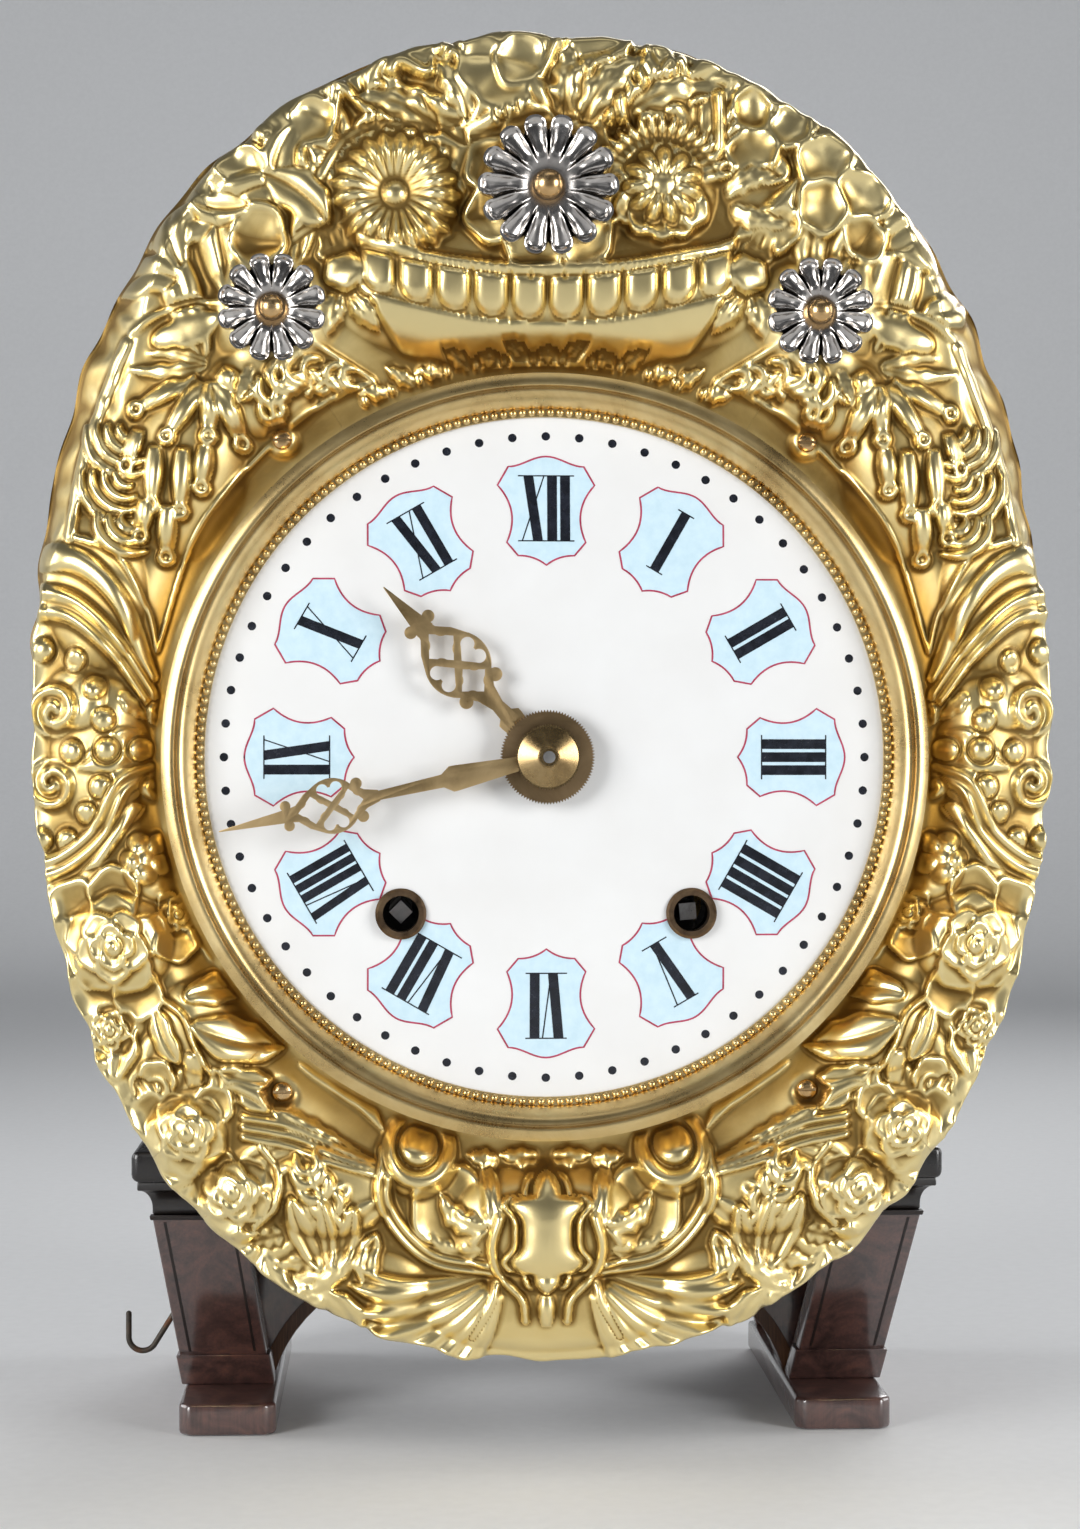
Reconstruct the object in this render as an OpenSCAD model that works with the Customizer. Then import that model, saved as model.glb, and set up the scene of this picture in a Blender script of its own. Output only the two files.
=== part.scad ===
// Comtoise wall-and-shelf clock on its console: enamel dial, pressed brass surround,
// weight-driven iron cage movement, mahogany bracket stand. Sizes in millimetres.

/* [Dial] */
// Visible width of the enamel inside the bezel
dial_view_d = 230; // [215:1:240]
// Height of the dial centre above the table
dial_height = 244; // [238:1:252]
// Rise of the enamel's dome
dial_crown = 8; // [5:0.5:10]
// Thickness of the enamelled copper
dial_t = 2; // [1.6:0.1:2.6]
// Winding holes, sideways from the centre line
winding_x = 49; // [47.5:0.5:52]
// Winding holes, below the dial centre
winding_drop = 52.7; // [51:0.1:56]
// Clear width of a winding hole
key_hole_d = 12.2; // [11:0.1:13.5]
// Across the flats of a winding square
square_w = 5.7; // [5:0.1:6.4]

/* [Bezel] */
// Radial width of the bezel ring
bezel_w = 14; // [12:0.5:16]
// Height of the bezel's roll in front of the dial's rim
bezel_h = 12; // [9:0.5:15]

/* [Surround] */
// Width of the pressed brass surround
surround_w = 354; // [346:1:366]
// Height of the surround
surround_h = 462; // [454:1:474]
// Centre of the oval above the dial centre
surround_lift = 21; // [17:0.5:25]
// Fullness of the oval's four corners, as a share of its reach
corner_swell = 0.03; // [0:0.005:0.04]
// Setback of the surround's rim behind the dial's rim
surround_depth = 26; // [23:0.5:30]
// Thickness of the pressed sheet
sheet_t = 0.9; // [0.7:0.1:1.2]
// Strength of the pressed relief
relief_gain = 1; // [0.8:0.05:1.2]
// Width of the large silvered rosette
large_rosette_d = 47; // [42:0.5:50]
// Width of a small silvered rosette
small_rosette_d = 36.5; // [32:0.5:40]

/* [Hands] */
// Minute hand, axis to tip
minute_hand_l = 112; // [106:0.5:113]
// Hour hand, axis to tip
hour_hand_l = 78.8; // [74:0.2:84]
// Thickness of both hands
hand_t = 1; // [0.8:0.1:1.4]
// Width of the hour hand's toothed disc
hour_disc_d = 31.8; // [28:0.2:34]
// Width of the minute hand's domed collet
collet_d = 22; // [20:0.5:25]
// Minute hand's angle, clockwise from twelve
minute_angle = 257.25; // [0:0.25:359.75]
// Hour hand's angle, clockwise from twelve
hour_angle = 316; // [0:0.25:359.75]

/* [Movement] */
// Width across the cage's plates
cage_w = 252; // [248:1:260]
// Height of the cage over both plates
cage_h = 262; // [256:1:272]
// Depth of the cage
cage_d = 138; // [134:1:146]
// Thickness of the cage's plates
cage_plate_t = 4; // [3.5:0.1:5]
// Side of a corner post
post_w = 10; // [8:0.5:12]
// Space for the motion work behind the dial plate
motion_depth = 27; // [26:0.5:32]
// Leaves on each train pinion
pinion_leaves = 8; // [8:1:9]
// Radius of a line drum
drum_r = 20; // [16:0.5:22]
// Mouth radius of the bell
bell_r = 58; // [52:0.5:60]

/* [Console] */
// Width of the black top board
console_w = 288; // [282:1:300]
// Front edge of the top board behind the dial's rim
console_front = 45; // [42:0.5:50]
// Depth of the top board
console_depth = 170; // [166:1:184]
// Height of the top board's upper face
console_h = 105; // [102:0.5:108]
// Width of a raked leg
leg_w = 32; // [28:0.5:36]
// Backward rake of a leg from top to bottom
leg_rake = 51; // [44:1:56]
// Inward lean of a leg from top to bottom
leg_lean = 8; // [5:0.5:10]
// Height of a foot
foot_h = 11.5; // [10:0.5:14]
// Rise of the arch above the table
arch_rise = 62; // [54:1:66]
// Thickness of the iron wire hook
hook_d = 2.2; // [1.8:0.1:2.8]

/* [Hidden] */

// Running clearance of pivots, and the air left between neighbours
run_gap = 0.06;
air = 0.3;

// Enamel dial and bezel radii
view_r = dial_view_d / 2;
dial_r = view_r + 3;
bezel_r = view_r + bezel_w;
bezel_back = 4;
lip_back = dial_crown * (pow(view_r / dial_r, 2) - 1) - 0.15;

// Depths of the stack, counted backward from the dial's rim
iron_t = 1.2;
plate_back = surround_depth + iron_t;
cage_front = plate_back + motion_depth;
cage_back = cage_front + cage_d;
bar_t = 5;
bar_w = 14;
front_bar = cage_front + 2;
bar_inner = front_bar + bar_t;
rear_bar = cage_back - 10;

// Heights of the cage
cage_floor = console_h + cage_plate_t;
cage_ceiling = console_h + cage_h - cage_plate_t;
cage_top = console_h + cage_h;
half_cage = cage_w / 2;
post_x = half_cage - 4.5 - post_w / 2;

// Wheel trains: teeth, module sizes and arbor heights
great_teeth = 96;
second_teeth = 64;
third_teeth = 60;
great_m = 0.94;
second_m = 0.8;
third_m = 0.7;
barrel_z = dial_height - winding_drop;
second_z = barrel_z + great_m * (great_teeth + pinion_leaves) / 2;
third_z = second_z + second_m * (second_teeth + pinion_leaves) / 2;
fourth_z = third_z + third_m * (third_teeth + pinion_leaves) / 2;
escape_teeth = 30;
escape_r = 19;
anchor_rise = 28;
anchor_z = fourth_z + anchor_rise;
pallet_r = escape_r + 1.6;

// Depths of the wheels behind the front bars
great_y = bar_inner + 8;
second_y = bar_inner + 90;
third_y = bar_inner + 102;
escape_y = bar_inner + 113;
drum_y0 = great_y + 3 + air;
drum_y1 = bar_inner + 73;

// Motion work behind the dial plate
transfer_teeth = 48;
transfer_dx = winding_x;
transfer_dz = second_z - dial_height;
transfer_m = sqrt(transfer_dx * transfer_dx + transfer_dz * transfer_dz) / transfer_teeth;
transfer_dir = atan2(transfer_dz, transfer_dx);
cannon_leaves = 14;
motion_teeth = 42;
motion_leaves = 10;
hour_teeth = 40;
motion_m = 1.1;
motion_drop = motion_m * (cannon_leaves + motion_teeth) / 2;
hour_m = 2 * motion_drop / (motion_leaves + hour_teeth);
hour_y = plate_back + 6;
motion_y = plate_back + 15;
transfer_y = plate_back + 21;
arbor_r = 2;
pipe_r = 4.4;

// Hands stand in front of the enamel's crown
hour_hand_y = -dial_crown - 4;
hour_disc_y = hour_hand_y - hand_t - 1.2;
minute_hand_y = hour_disc_y - 2;
collet_h = 6;
arbor_tip = minute_hand_y - hand_t - collet_h - 3;

// Console
console_back = console_front + console_depth;
board_t = 11;
moulding_h = 12;
under_z = console_h - board_t - moulding_h;
board_floor = console_h - board_t;
side_outer = console_w / 2 - 16;
side_t = 12;
side_inner = side_outer - side_t;
leg_top_x = console_w / 2 - 7;
leg_t = 16;
leg_front = console_front + 4;
foot_outer = side_outer + 1;
foot_w = 35;
foot_front = leg_front + leg_rake - 35;
arch_half = foot_outer - foot_w + 4;
arch_front = leg_front + leg_rake + 8;

// The part is centred front to back on its own box
depth_mid = (console_back + arbor_tip) / 2;

// Shared helpers: x to the right, y backward from the dial's rim, z up
function polar(r, a) = [r * cos(a), r * sin(a)];
function smooth(v) = let (c = min(1, max(0, v))) c * c * (3 - 2 * c);
function mix(a, b, v) = a + (b - a) * v;
module place() translate([0, -depth_mid, 0]) children();
module slab(y0, y1) translate([0, y1, 0]) rotate([90, 0, 0]) linear_extrude(y1 - y0) children();
module at(x, z) translate([x, 0, z]) children();
module rod(x, z, r, y0, y1) translate([x, y0, z]) rotate([-90, 0, 0]) cylinder(r = r, h = y1 - y0, $fn = 48);
module turned(x, z) translate([x, 0, z]) rotate([-90, 0, 0]) rotate_extrude($fn = 120) children();
module box(x0, x1, y0, y1, z0, z1) translate([x0, y0, z0]) cube([x1 - x0, y1 - y0, z1 - z0]);
module both_sides() {
    children();
    mirror([1, 0, 0]) children();
}

// Console: black top board with slots for the weight lines
module console_top_board() color("#15110f") difference() {
    box(-console_w / 2, console_w / 2, console_front, console_back, board_floor, console_h);
    both_sides() line_slot(board_floor - 1, console_h + 1);
}
module line_slot(z0, z1) box(winding_x + drum_r - 5, winding_x + drum_r + 5,
    drum_y0 + 4, drum_y1 - 4, z0, z1);

// Console: fillet and hollow under the board, mitred round front and sides
function moulding_profile() = concat(
    [[0, 0], [6, 0], [6, 2]],
    [for (k = [0 : 8]) [11 - 5 * cos(k * 11.25), 2 + 7 * sin(k * 11.25)]],
    [[11, moulding_h], [0, moulding_h]]);
module moulding_run(length) rotate([90, 0, 90]) translate([0, 0, -length / 2])
    linear_extrude(length) mirror([1, 0, 0]) polygon(moulding_profile());
module console_moulding() color("#1b1411") {
    core_x = console_w / 2 - 13;
    core_y = console_front + 13;
    difference() {
        translate([0, core_y, under_z]) moulding_run(console_w);
        both_sides() translate([core_x, core_y, 0]) rotate([0, 0, 45]) box(0, 60, -60, 60, 0, console_h);
    }
    both_sides() difference() {
        translate([core_x, (core_y + console_back) / 2, under_z]) rotate([0, 0, 90])
            moulding_run(console_back - core_y + 40);
        translate([core_x, core_y, 0]) rotate([0, 0, 45]) box(-60, 0, -60, 60, 0, console_h);
        box(core_x - 1, core_x + 40, console_back, console_back + 60, 0, console_h);
    }
    box(-core_x, core_x, core_y, console_back, under_z + 2, board_floor);
}

// Console: raked leg, leaning back and inward as it goes down
module raked_leg() {
    top_z = under_z;
    polyhedron(points = [
        for (side = [0, leg_w], depth = [0, leg_t]) [leg_top_x - side, leg_front + depth, top_z],
        for (side = [0, leg_w], depth = [0, leg_t])
            [leg_top_x - leg_lean - side, leg_front + leg_rake + depth, foot_h]],
        faces = [[0, 1, 3, 2], [4, 6, 7, 5], [0, 2, 6, 4], [1, 5, 7, 3], [0, 4, 5, 1], [2, 3, 7, 6]]);
}
module console_right_leg() color("#4a2016") raked_leg();
module console_left_leg() color("#4a2016") mirror([1, 0, 0]) raked_leg();

// Console: feet with a softened front
module foot() difference() {
    box(foot_outer - foot_w, foot_outer, foot_front, console_back, 0, foot_h);
    translate([foot_outer, foot_front, -1]) rotate([0, 0, 45]) cube([5, 5, 2 * foot_h + 4], center = true);
    translate([foot_outer - foot_w, foot_front, -1]) rotate([0, 0, 45]) cube([5, 5, 2 * foot_h + 4], center = true);
}
module console_right_foot() color("#3a1911") foot();
module console_left_foot() color("#3a1911") mirror([1, 0, 0]) foot();

// Console: upright side board behind each leg
module side_board() translate([side_inner, 0, 0]) rotate([90, 0, 90]) linear_extrude(side_t) polygon([
    [leg_front + leg_t, under_z], [leg_front + leg_rake + leg_t, foot_h],
    [console_back, foot_h], [console_back, under_z]]);
module console_right_side() color("#3a1911") side_board();
module console_left_side() color("#3a1911") mirror([1, 0, 0]) side_board();

// Console: arched front panel and plain arched back
module arch_outline() difference() {
    translate([-side_inner, foot_h]) square([2 * side_inner, under_z - foot_h]);
    polygon([for (k = [0 : 36]) [arch_half * cos(k * 5), arch_rise * sin(k * 5)]]);
}
module console_arch_panel() color("#2a1510") slab(arch_front + leg_t, arch_front + leg_t + 24) arch_outline();
module console_back_board() color("#2a1510") slab(console_back - 12, console_back) arch_outline();

// Bent iron wire hook driven into the left side board
hook_y = leg_front + leg_rake + 50;
hook_bend = 5.4;
module hook_wire() {
    sweep = 58;
    centre_x = side_outer + 21;
    centre_z = foot_h + 8;
    start = [centre_x - hook_bend * sin(sweep), centre_z - hook_bend * cos(sweep)];
    reach = (start[0] - side_outer + 3) / cos(sweep);
    at(centre_x, centre_z) rotate([90, 0, 0]) rotate([0, 0, -90 - sweep])
        rotate_extrude(angle = 90 + sweep, $fn = 60) translate([hook_bend, 0]) circle(r = hook_d / 2, $fn = 24);
    at(start[0], start[1]) rotate([0, sweep - 90, 0]) cylinder(r = hook_d / 2, h = reach, $fn = 24);
    at(centre_x + hook_bend, centre_z) cylinder(r = hook_d / 2, h = 9, $fn = 24);
    for (end = [start, [centre_x + hook_bend, centre_z], [centre_x + hook_bend, centre_z + 9]])
        at(end[0], end[1]) sphere(r = hook_d / 2, $fn = 24);
}
module side_wire_hook() color("#3d3a36") translate([0, hook_y, 0]) mirror([1, 0, 0]) hook_wire();

// Movement cage: plates, posts and the train bars with their pivot holes
module cage_plate(z0) difference() {
    box(-half_cage, half_cage, cage_front, cage_back, z0, z0 + cage_plate_t);
    both_sides() translate([door_pin_x, door_pin_y, z0 - 1]) cylinder(r = door_pin_r + run_gap, h = 9, $fn = 32);
}
module cage_base_plate() color("#4b4a48") difference() {
    cage_plate(console_h);
    both_sides() line_slot(console_h - 1, cage_floor + 1);
}
module cage_top_plate() color("#4b4a48") difference() {
    cage_plate(cage_ceiling);
    box(hammer_x + 4, hammer_x + 40, bell_y - 4, bell_y + 4, cage_ceiling - 1, cage_top + 1);
}
module cage_corner_posts() color("#55534f") for (x = [-post_x, post_x], y = [cage_front, cage_back - post_w])
    box(x - post_w / 2, x + post_w / 2, y, y + post_w, cage_floor, cage_ceiling);
module train_bar(x, y) box(x - bar_w / 2, x + bar_w / 2, y, y + bar_t, cage_floor, cage_ceiling);
module pivot_holes(y) for (x = [-winding_x, winding_x]) {
    rod(x, barrel_z, barrel_arbor_r + run_gap, y - 1, y + bar_t + 1);
    for (z = [second_z, third_z, fourth_z]) rod(x, z, arbor_r + run_gap, y - 1, y + bar_t + 1);
}
module front_train_bars() color("#5d5a55") difference() {
    for (x = [-winding_x, 0, winding_x]) train_bar(x, front_bar);
    pivot_holes(front_bar);
    rod(winding_x, anchor_z, arbor_r + run_gap, front_bar - 1, bar_inner + 1);
    rod(0, dial_height, arbor_r + run_gap, front_bar - 1, bar_inner + 1);
}
module rear_train_bars() color("#5d5a55") difference() {
    for (x = [-winding_x, winding_x]) train_bar(x, rear_bar);
    pivot_holes(rear_bar);
    rod(winding_x, anchor_z, arbor_r + run_gap, rear_bar - 1, rear_bar + bar_t + 1);
}
module back_panel() color("#3c3b39") box(-half_cage, half_cage, cage_back, cage_back + iron_t, console_h, cage_top);

// Side doors turn on pins in the cage's plates
door_pin_r = 1.6;
door_pin_x = half_cage - 2.2;
door_pin_y = cage_back - 5;
module door() {
    box(door_pin_x - 0.6, door_pin_x + 0.6, cage_front + 3, door_pin_y, cage_floor + air, cage_ceiling - air);
    translate([door_pin_x, door_pin_y, console_h + 0.6]) cylinder(r = door_pin_r, h = cage_h - 1.2, $fn = 32);
    translate([door_pin_x + 0.6, cage_front + 14, (cage_floor + cage_ceiling) / 2]) rotate([0, 90, 0])
        cylinder(r = 4, h = 6, $fn = 32);
}
module right_door() color("#43423f") door();
module left_door() color("#43423f") mirror([1, 0, 0]) door();

// Iron dial plate behind the surround, standing off the cage on four posts
function oval(u, inset) = let (full = 1 + corner_swell * (1 - cos(4 * u)) / 2)
    [(surround_w / 2 - inset) * full * cos(u), surround_lift + (surround_h / 2 - inset) * full * sin(u)];
dial_foot_r = 98;
module dial_feet(r, y0, y1) for (a = [30, 150, 270])
    rod(dial_foot_r * cos(a), dial_height + dial_foot_r * sin(a), r, y0, y1);
module dial_plate() color("#4b4a48") difference() {
    at(0, dial_height) slab(surround_depth, plate_back) polygon([for (k = [0 : 95]) oval(k * 3.75, 5)]);
    rod(0, dial_height, pipe_r + 4, surround_depth - 1, plate_back + 1);
    for (x = [-winding_x, winding_x]) rod(x, barrel_z, key_hole_d / 2 + 2, surround_depth - 1, plate_back + 1);
    dial_feet(1.5 + run_gap, surround_depth - 1, plate_back + 1);
    screw_places() rod(0, 0, screw_shank_r + run_gap, surround_depth - 1, plate_back + 1);
}
module plate_posts() color("#5d5a55") for (x = [-post_x, post_x], z = [cage_floor + 14, cage_ceiling - 18])
    rod(x, z, 4, plate_back, cage_front);

// Enamel dial: a shallow dome with three soldered feet
function dome_y(r) = dial_crown * (pow(r / dial_r, 2) - 1);
module enamel_dial() color("#f4f2ee") {
    difference() {
        turned(0, dial_height) polygon(concat(
            [for (k = [0 : 12]) [dial_r * k / 12, dome_y(dial_r * k / 12)]],
            [for (k = [12 : -1 : 0]) [dial_r * k / 12, dome_y(dial_r * k / 12) + dial_t]]));
        rod(0, dial_height, pipe_r + 2.6, -dial_crown - 5, 9);
        for (x = [-winding_x, winding_x]) rod(x, barrel_z, key_hole_d / 2 + 1.2, -dial_crown - 5, 9);
    }
    dial_feet(1.5, dome_y(dial_foot_r) + dial_t / 2, plate_back + 2);
}

// Bronze grommets lining the two winding holes
winding_r = sqrt(winding_x * winding_x + winding_drop * winding_drop);
grommet_y = dome_y(winding_r + key_hole_d / 2 + 2.6) - 0.1;
module winding_grommets() color("#8a6a3c") for (x = [-winding_x, winding_x]) turned(x, barrel_z) {
    rim_y = dome_y(winding_r - key_hole_d / 2 - 2.6) - 0.15;
    polygon([[key_hole_d / 2, rim_y - 1.3], [key_hole_d / 2 + 1.6, rim_y - 1.3], [key_hole_d / 2 + 2.5, rim_y - 0.4],
        [key_hole_d / 2 + 2.5, rim_y], [key_hole_d / 2 + 1.05, rim_y], [key_hole_d / 2 + 1.05, grommet_y + dial_t + 2.5],
        [key_hole_d / 2, grommet_y + dial_t + 2.5]]);
}

// Bezel: plain lip, hollow and half-round roll, resting on the sheets
module bezel() color("#b18a45") turned(0, dial_height) {
    roll_r = (bezel_w - 5) / 2;
    roll_c = bezel_r - roll_r;
    polygon(concat(
        [[view_r, lip_back], [view_r, lip_back - 1.6], [view_r + 1, lip_back - 2.6],
            [view_r + 2.6, lip_back - 2.6], [view_r + 3.6, lip_back - 1.6]],
        [for (k = [0 : 12]) [roll_c - roll_r * cos(k * 15), -bezel_h + roll_r * (1 - sin(k * 15))]],
        [[bezel_r, bezel_back], [dial_r + 0.5, bezel_back], [dial_r + 0.5, lip_back]]));
}

// Pressed surround: four sheets share one relief, drawn as a grid from bezel to rim.
// Raised masses: across, up from the dial centre, half width, half height, rise
crest_masses = [[0, 156, 74, 27, 13], [-50, 190, 22, 22, 9], [39, 191, 19, 19, 10],
    [-90, 196, 26, 24, 7], [88, 194, 28, 26, 7], [-22, 224, 26, 13, 6], [26, 226, 24, 13, 6],
    [0, 190, 30, 26, 7]];
side_masses = [[-121, 96, 20, 30, 9], [-97, 122, 20, 15, 8], [-151, 56, 17, 28, 9], [-150, 2, 17, 26, 8],
    [-158, 20, 11, 11, 6], [-143, -63, 18, 18, 13], [-130, -37, 12, 12, 8], [-112, -90, 20, 17, 8]];
apron_masses = [[-121, -128, 14, 14, 10], [-103, -150, 14, 14, 10], [-73, -146, 22, 16, 9],
    [-43, -135, 14, 14, 10], [0, -158, 32, 22, 13], [0, -188, 40, 14, 9], [-62, -178, 22, 13, 7]];
function bump(x, z, m) = let (d = 1 - pow((x - m[0]) / m[2], 2) - pow((z - m[1]) / m[3], 2))
    d > 0 ? m[4] * d * (2 - d) : 0;
function sum(list, k) = k < 0 ? 0 : list[k] + sum(list, k - 1);
function raised(x, z) = relief_gain * (sum([for (m = crest_masses) bump(x, z, m)], len(crest_masses) - 1)
    + sum([for (m = side_masses) bump(-abs(x), z, m)], len(side_masses) - 1)
    + sum([for (m = apron_masses) bump(-abs(x), z, m)], len(apron_masses) - 1));
// Flat seats pressed into the relief: across, up, flat radius, depth of the face
rosette_y = -18;
small_rosette_y = -9;
screw_y = 1;
screw_x = 89;
screw_up = 107;
screw_down = 113;
seats = [[0, 190, 15, rosette_y], [-92, 150, 14, small_rosette_y], [92, 150, 14, small_rosette_y],
    [-screw_x, screw_up, 11, screw_y], [screw_x, screw_up, 11, screw_y],
    [-screw_x, -screw_down, 11, screw_y], [screw_x, -screw_down, 11, screw_y]];
function seated(x, z, y, k) = k < 0 ? y
    : let (s = seats[k], far = norm([x - s[0], z - s[1]])) seated(x, z, mix(s[3], y, smooth((far - s[2]) / 9)), k - 1);
rim_face = surround_depth - sheet_t;
border_r = bezel_r + 2.5;
// The face stays frontal, then turns back to the flat lip; the turn starts earlier at the plain shoulders
lip_share = 0.955;
function turn_share(x, z) = 0.88 - 0.19 * exp(-pow((abs(atan2(x, z)) - 54) / 15, 2));
function sheet_face(x, z, s) = let (
    start = turn_share(x, z),
    skirt = pow(max(0, min(1, (s - start) / (lip_share - start))), 1.5),
    bowl = bezel_back - 8 * smooth(s / 0.3) + 6 * smooth((s - 0.35) / (start - 0.35))
        + (rim_face - bezel_back + 2) * skirt,
    lift = raised(x, z) * smooth(s / 0.12) * smooth((0.97 - s) / 0.16),
    free = seated(x, z, bowl - lift, len(seats) - 1))
    s <= 0 ? bezel_back : s >= lip_share ? rim_face : free;
function sheet_point(u, ring, rings) = let (
    out = oval(u, 0),
    dir = out / norm(out),
    s = ring < 2 ? 0 : ring == rings ? 1 : lip_share * (ring - 1) / (rings - 2),
    flat = ring == 0 ? dir * (bezel_r - 6) : mix(dir * border_r, out, s))
    [flat[0], sheet_face(flat[0], flat[1], s), flat[1]];
module pressed_sheet(u0, u1, steps, rings) {
    row = rings + 1;
    count = (steps + 1) * row;
    face = [for (k = [0 : steps], r = [0 : rings]) sheet_point(mix(u0, u1, k / steps), r, rings)];
    back = [for (p = face) p + [0, sheet_t, 0]];
    at(0, dial_height) polyhedron(points = concat(face, back), faces = [
        for (k = [0 : steps - 1], r = [0 : rings - 1]) let (a = k * row + r) each
            [[a, a + row, a + 1], [a + 1, a + row, a + row + 1],
            [count + a, count + a + 1, count + a + row], [count + a + 1, count + a + row + 1, count + a + row]],
        for (k = [0 : steps - 1]) let (a = k * row, b = k * row + rings) each
            [[a, count + a, a + row], [a + row, count + a, count + a + row],
            [b, b + row, count + b], [b + row, count + b + row, count + b]],
        for (r = [0 : rings - 1]) let (a = r, b = steps * row + r) each
            [[a, a + 1, count + a], [a + 1, count + a + 1, count + a],
            [b, count + b, b + 1], [b + 1, count + b, count + b + 1]]]);
}
crest_half = 42;
apron_half = 48;
seam = 0.1;
module crest_sheet() color("#c9a24a")
    pressed_sheet(90 - crest_half + seam, 90 + crest_half - seam, 36, 16);
module left_side_sheet() color("#c9a24a") difference() {
    pressed_sheet(90 + crest_half + seam, 270 - apron_half - seam, 34, 12);
    screw_places() rod(0, 0, screw_shank_r + run_gap, -20, 20);
}
module right_side_sheet() color("#c9a24a") difference() {
    pressed_sheet(-90 + apron_half + seam, 90 - crest_half - seam, 34, 12);
    screw_places() rod(0, 0, screw_shank_r + run_gap, -20, 20);
}
module apron_sheet() color("#c9a24a") difference() {
    pressed_sheet(270 - apron_half + seam, 270 + apron_half - seam, 38, 14);
    screw_places() rod(0, 0, screw_shank_r + run_gap, -20, 20);
}

// Slotted screws through the sheets into the dial plate
screw_shank_r = 1.5;
module screw_places() for (x = [-screw_x, screw_x], z = [screw_up, -screw_down]) at(x, dial_height + z) children();
module surround_screws() color("#b87a4c") screw_places() {
    rod(0, 0, screw_shank_r, screw_y, plate_back + 2);
    difference() {
        turned(0, 0) polygon(concat([[0, screw_y], [3.3, screw_y]],
            [for (k = [0 : 6]) [3.3 * cos(k * 15), screw_y - 0.8 - 1.6 * sin(k * 15)]]));
        box(-4, 4, screw_y - 4, screw_y - 1.4, -0.5, 0.5);
    }
}

// Silvered daisy rosettes with domed studs
function petal_outline(d, petals) = [for (k = [0 : petals * 12 - 1]) let (a = k * 30 / petals)
    polar(d / 2 * (0.8 + 0.2 * pow(abs(cos(a * petals / 2)), 0.6)), a)];
module daisy(d, petals, y) {
    dish_r = d * 0.29;
    slab(y - 4.6, y - 2.9) difference() {
        polygon(petal_outline(d, petals));
        circle(r = dish_r, $fn = 96);
    }
    turned(0, 0) polygon([[0, y], [5.4, y], [dish_r + 1, y - 3.2], [dish_r + 1, y - 4.3], [5.4, y - 2.2], [0, y - 2.2]]);
}
module large_rosette() color("#c8c9cc") at(0, dial_height + 190) daisy(large_rosette_d, 14, rosette_y);
module small_rosettes() color("#c8c9cc") both_sides() at(92, dial_height + 150)
    daisy(small_rosette_d, 12, small_rosette_y);
module stud(r, y) turned(0, 0) polygon(concat([[0, y], [r, y]],
    [for (k = [0 : 6]) [r * cos(k * 15), y - 1 - r * 0.8 * sin(k * 15)]]));
module rosette_studs() color("#b98a55") {
    at(0, dial_height + 190) stud(5.1, rosette_y - 2.2);
    both_sides() at(92, dial_height + 150) stud(4.4, small_rosette_y - 2.2);
}

// Pierced hands: drawn pointing to twelve, then turned to the time
module leaf() linear_extrude(hand_t) children();
module piercing() translate([0, 0, -1]) linear_extrude(hand_t + 2) children();
module hand_place(angle, y) translate([0, y, dial_height]) rotate([90, 0, 0]) rotate([0, 0, -angle]) children();
module concave_diamond(reach, wide) difference() {
    polygon([[0, reach], [wide, 0], [0, -reach], [-wide, 0]]);
    for (x = [-1, 1], z = [-1, 1]) translate([x * wide * 0.86, z * reach * 0.86])
        circle(r = norm([wide, reach]) * 0.41, $fn = 48);
}
module heart_piercing(w) {
    for (z = [-1, 1]) piercing() translate([0.63 * w, z * 0.25 * w]) circle(r = 0.21 * w, $fn = 32);
    piercing() polygon([[0.15 * w, 0], [0.5 * w, 0.41 * w], [0.68 * w, 0.1 * w], [0.68 * w, -0.1 * w],
        [0.5 * w, -0.41 * w]]);
}
module hand_head(v, w) translate([0, v, 0]) difference() {
    union() {
        leaf() circle(r = w, $fn = 64);
        leaf() polygon([[-0.9 * w, 0.44 * w], [0.9 * w, 0.44 * w], [0.62 * w, 0.95 * w], [0.3 * w, 1.3 * w],
            [0.24 * w, 1.6 * w], [-0.24 * w, 1.6 * w], [-0.3 * w, 1.3 * w], [-0.62 * w, 0.95 * w]]);
        leaf() polygon([[-0.66 * w, -0.75 * w], [0.66 * w, -0.75 * w], [0.34 * w, -1.2 * w], [0.2 * w, -1.7 * w],
            [-0.2 * w, -1.7 * w], [-0.34 * w, -1.2 * w]]);
        for (x = [-1, 1]) {
            leaf() translate([x * 0.36 * w, 1.66 * w]) circle(r = 0.19 * w, $fn = 32);
            leaf() translate([x * 0.6 * w, -0.98 * w]) circle(r = 0.21 * w, $fn = 32);
        }
        leaf() translate([-0.36 * w, 1.52 * w]) square([0.72 * w, 0.28 * w]);
    }
    piercing() translate([0, 0.72 * w]) concave_diamond(0.54 * w, 0.5 * w);
    piercing() translate([0, -0.66 * w]) concave_diamond(0.46 * w, 0.48 * w);
    heart_piercing(w);
    mirror([1, 0, 0]) heart_piercing(w);
}
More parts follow.
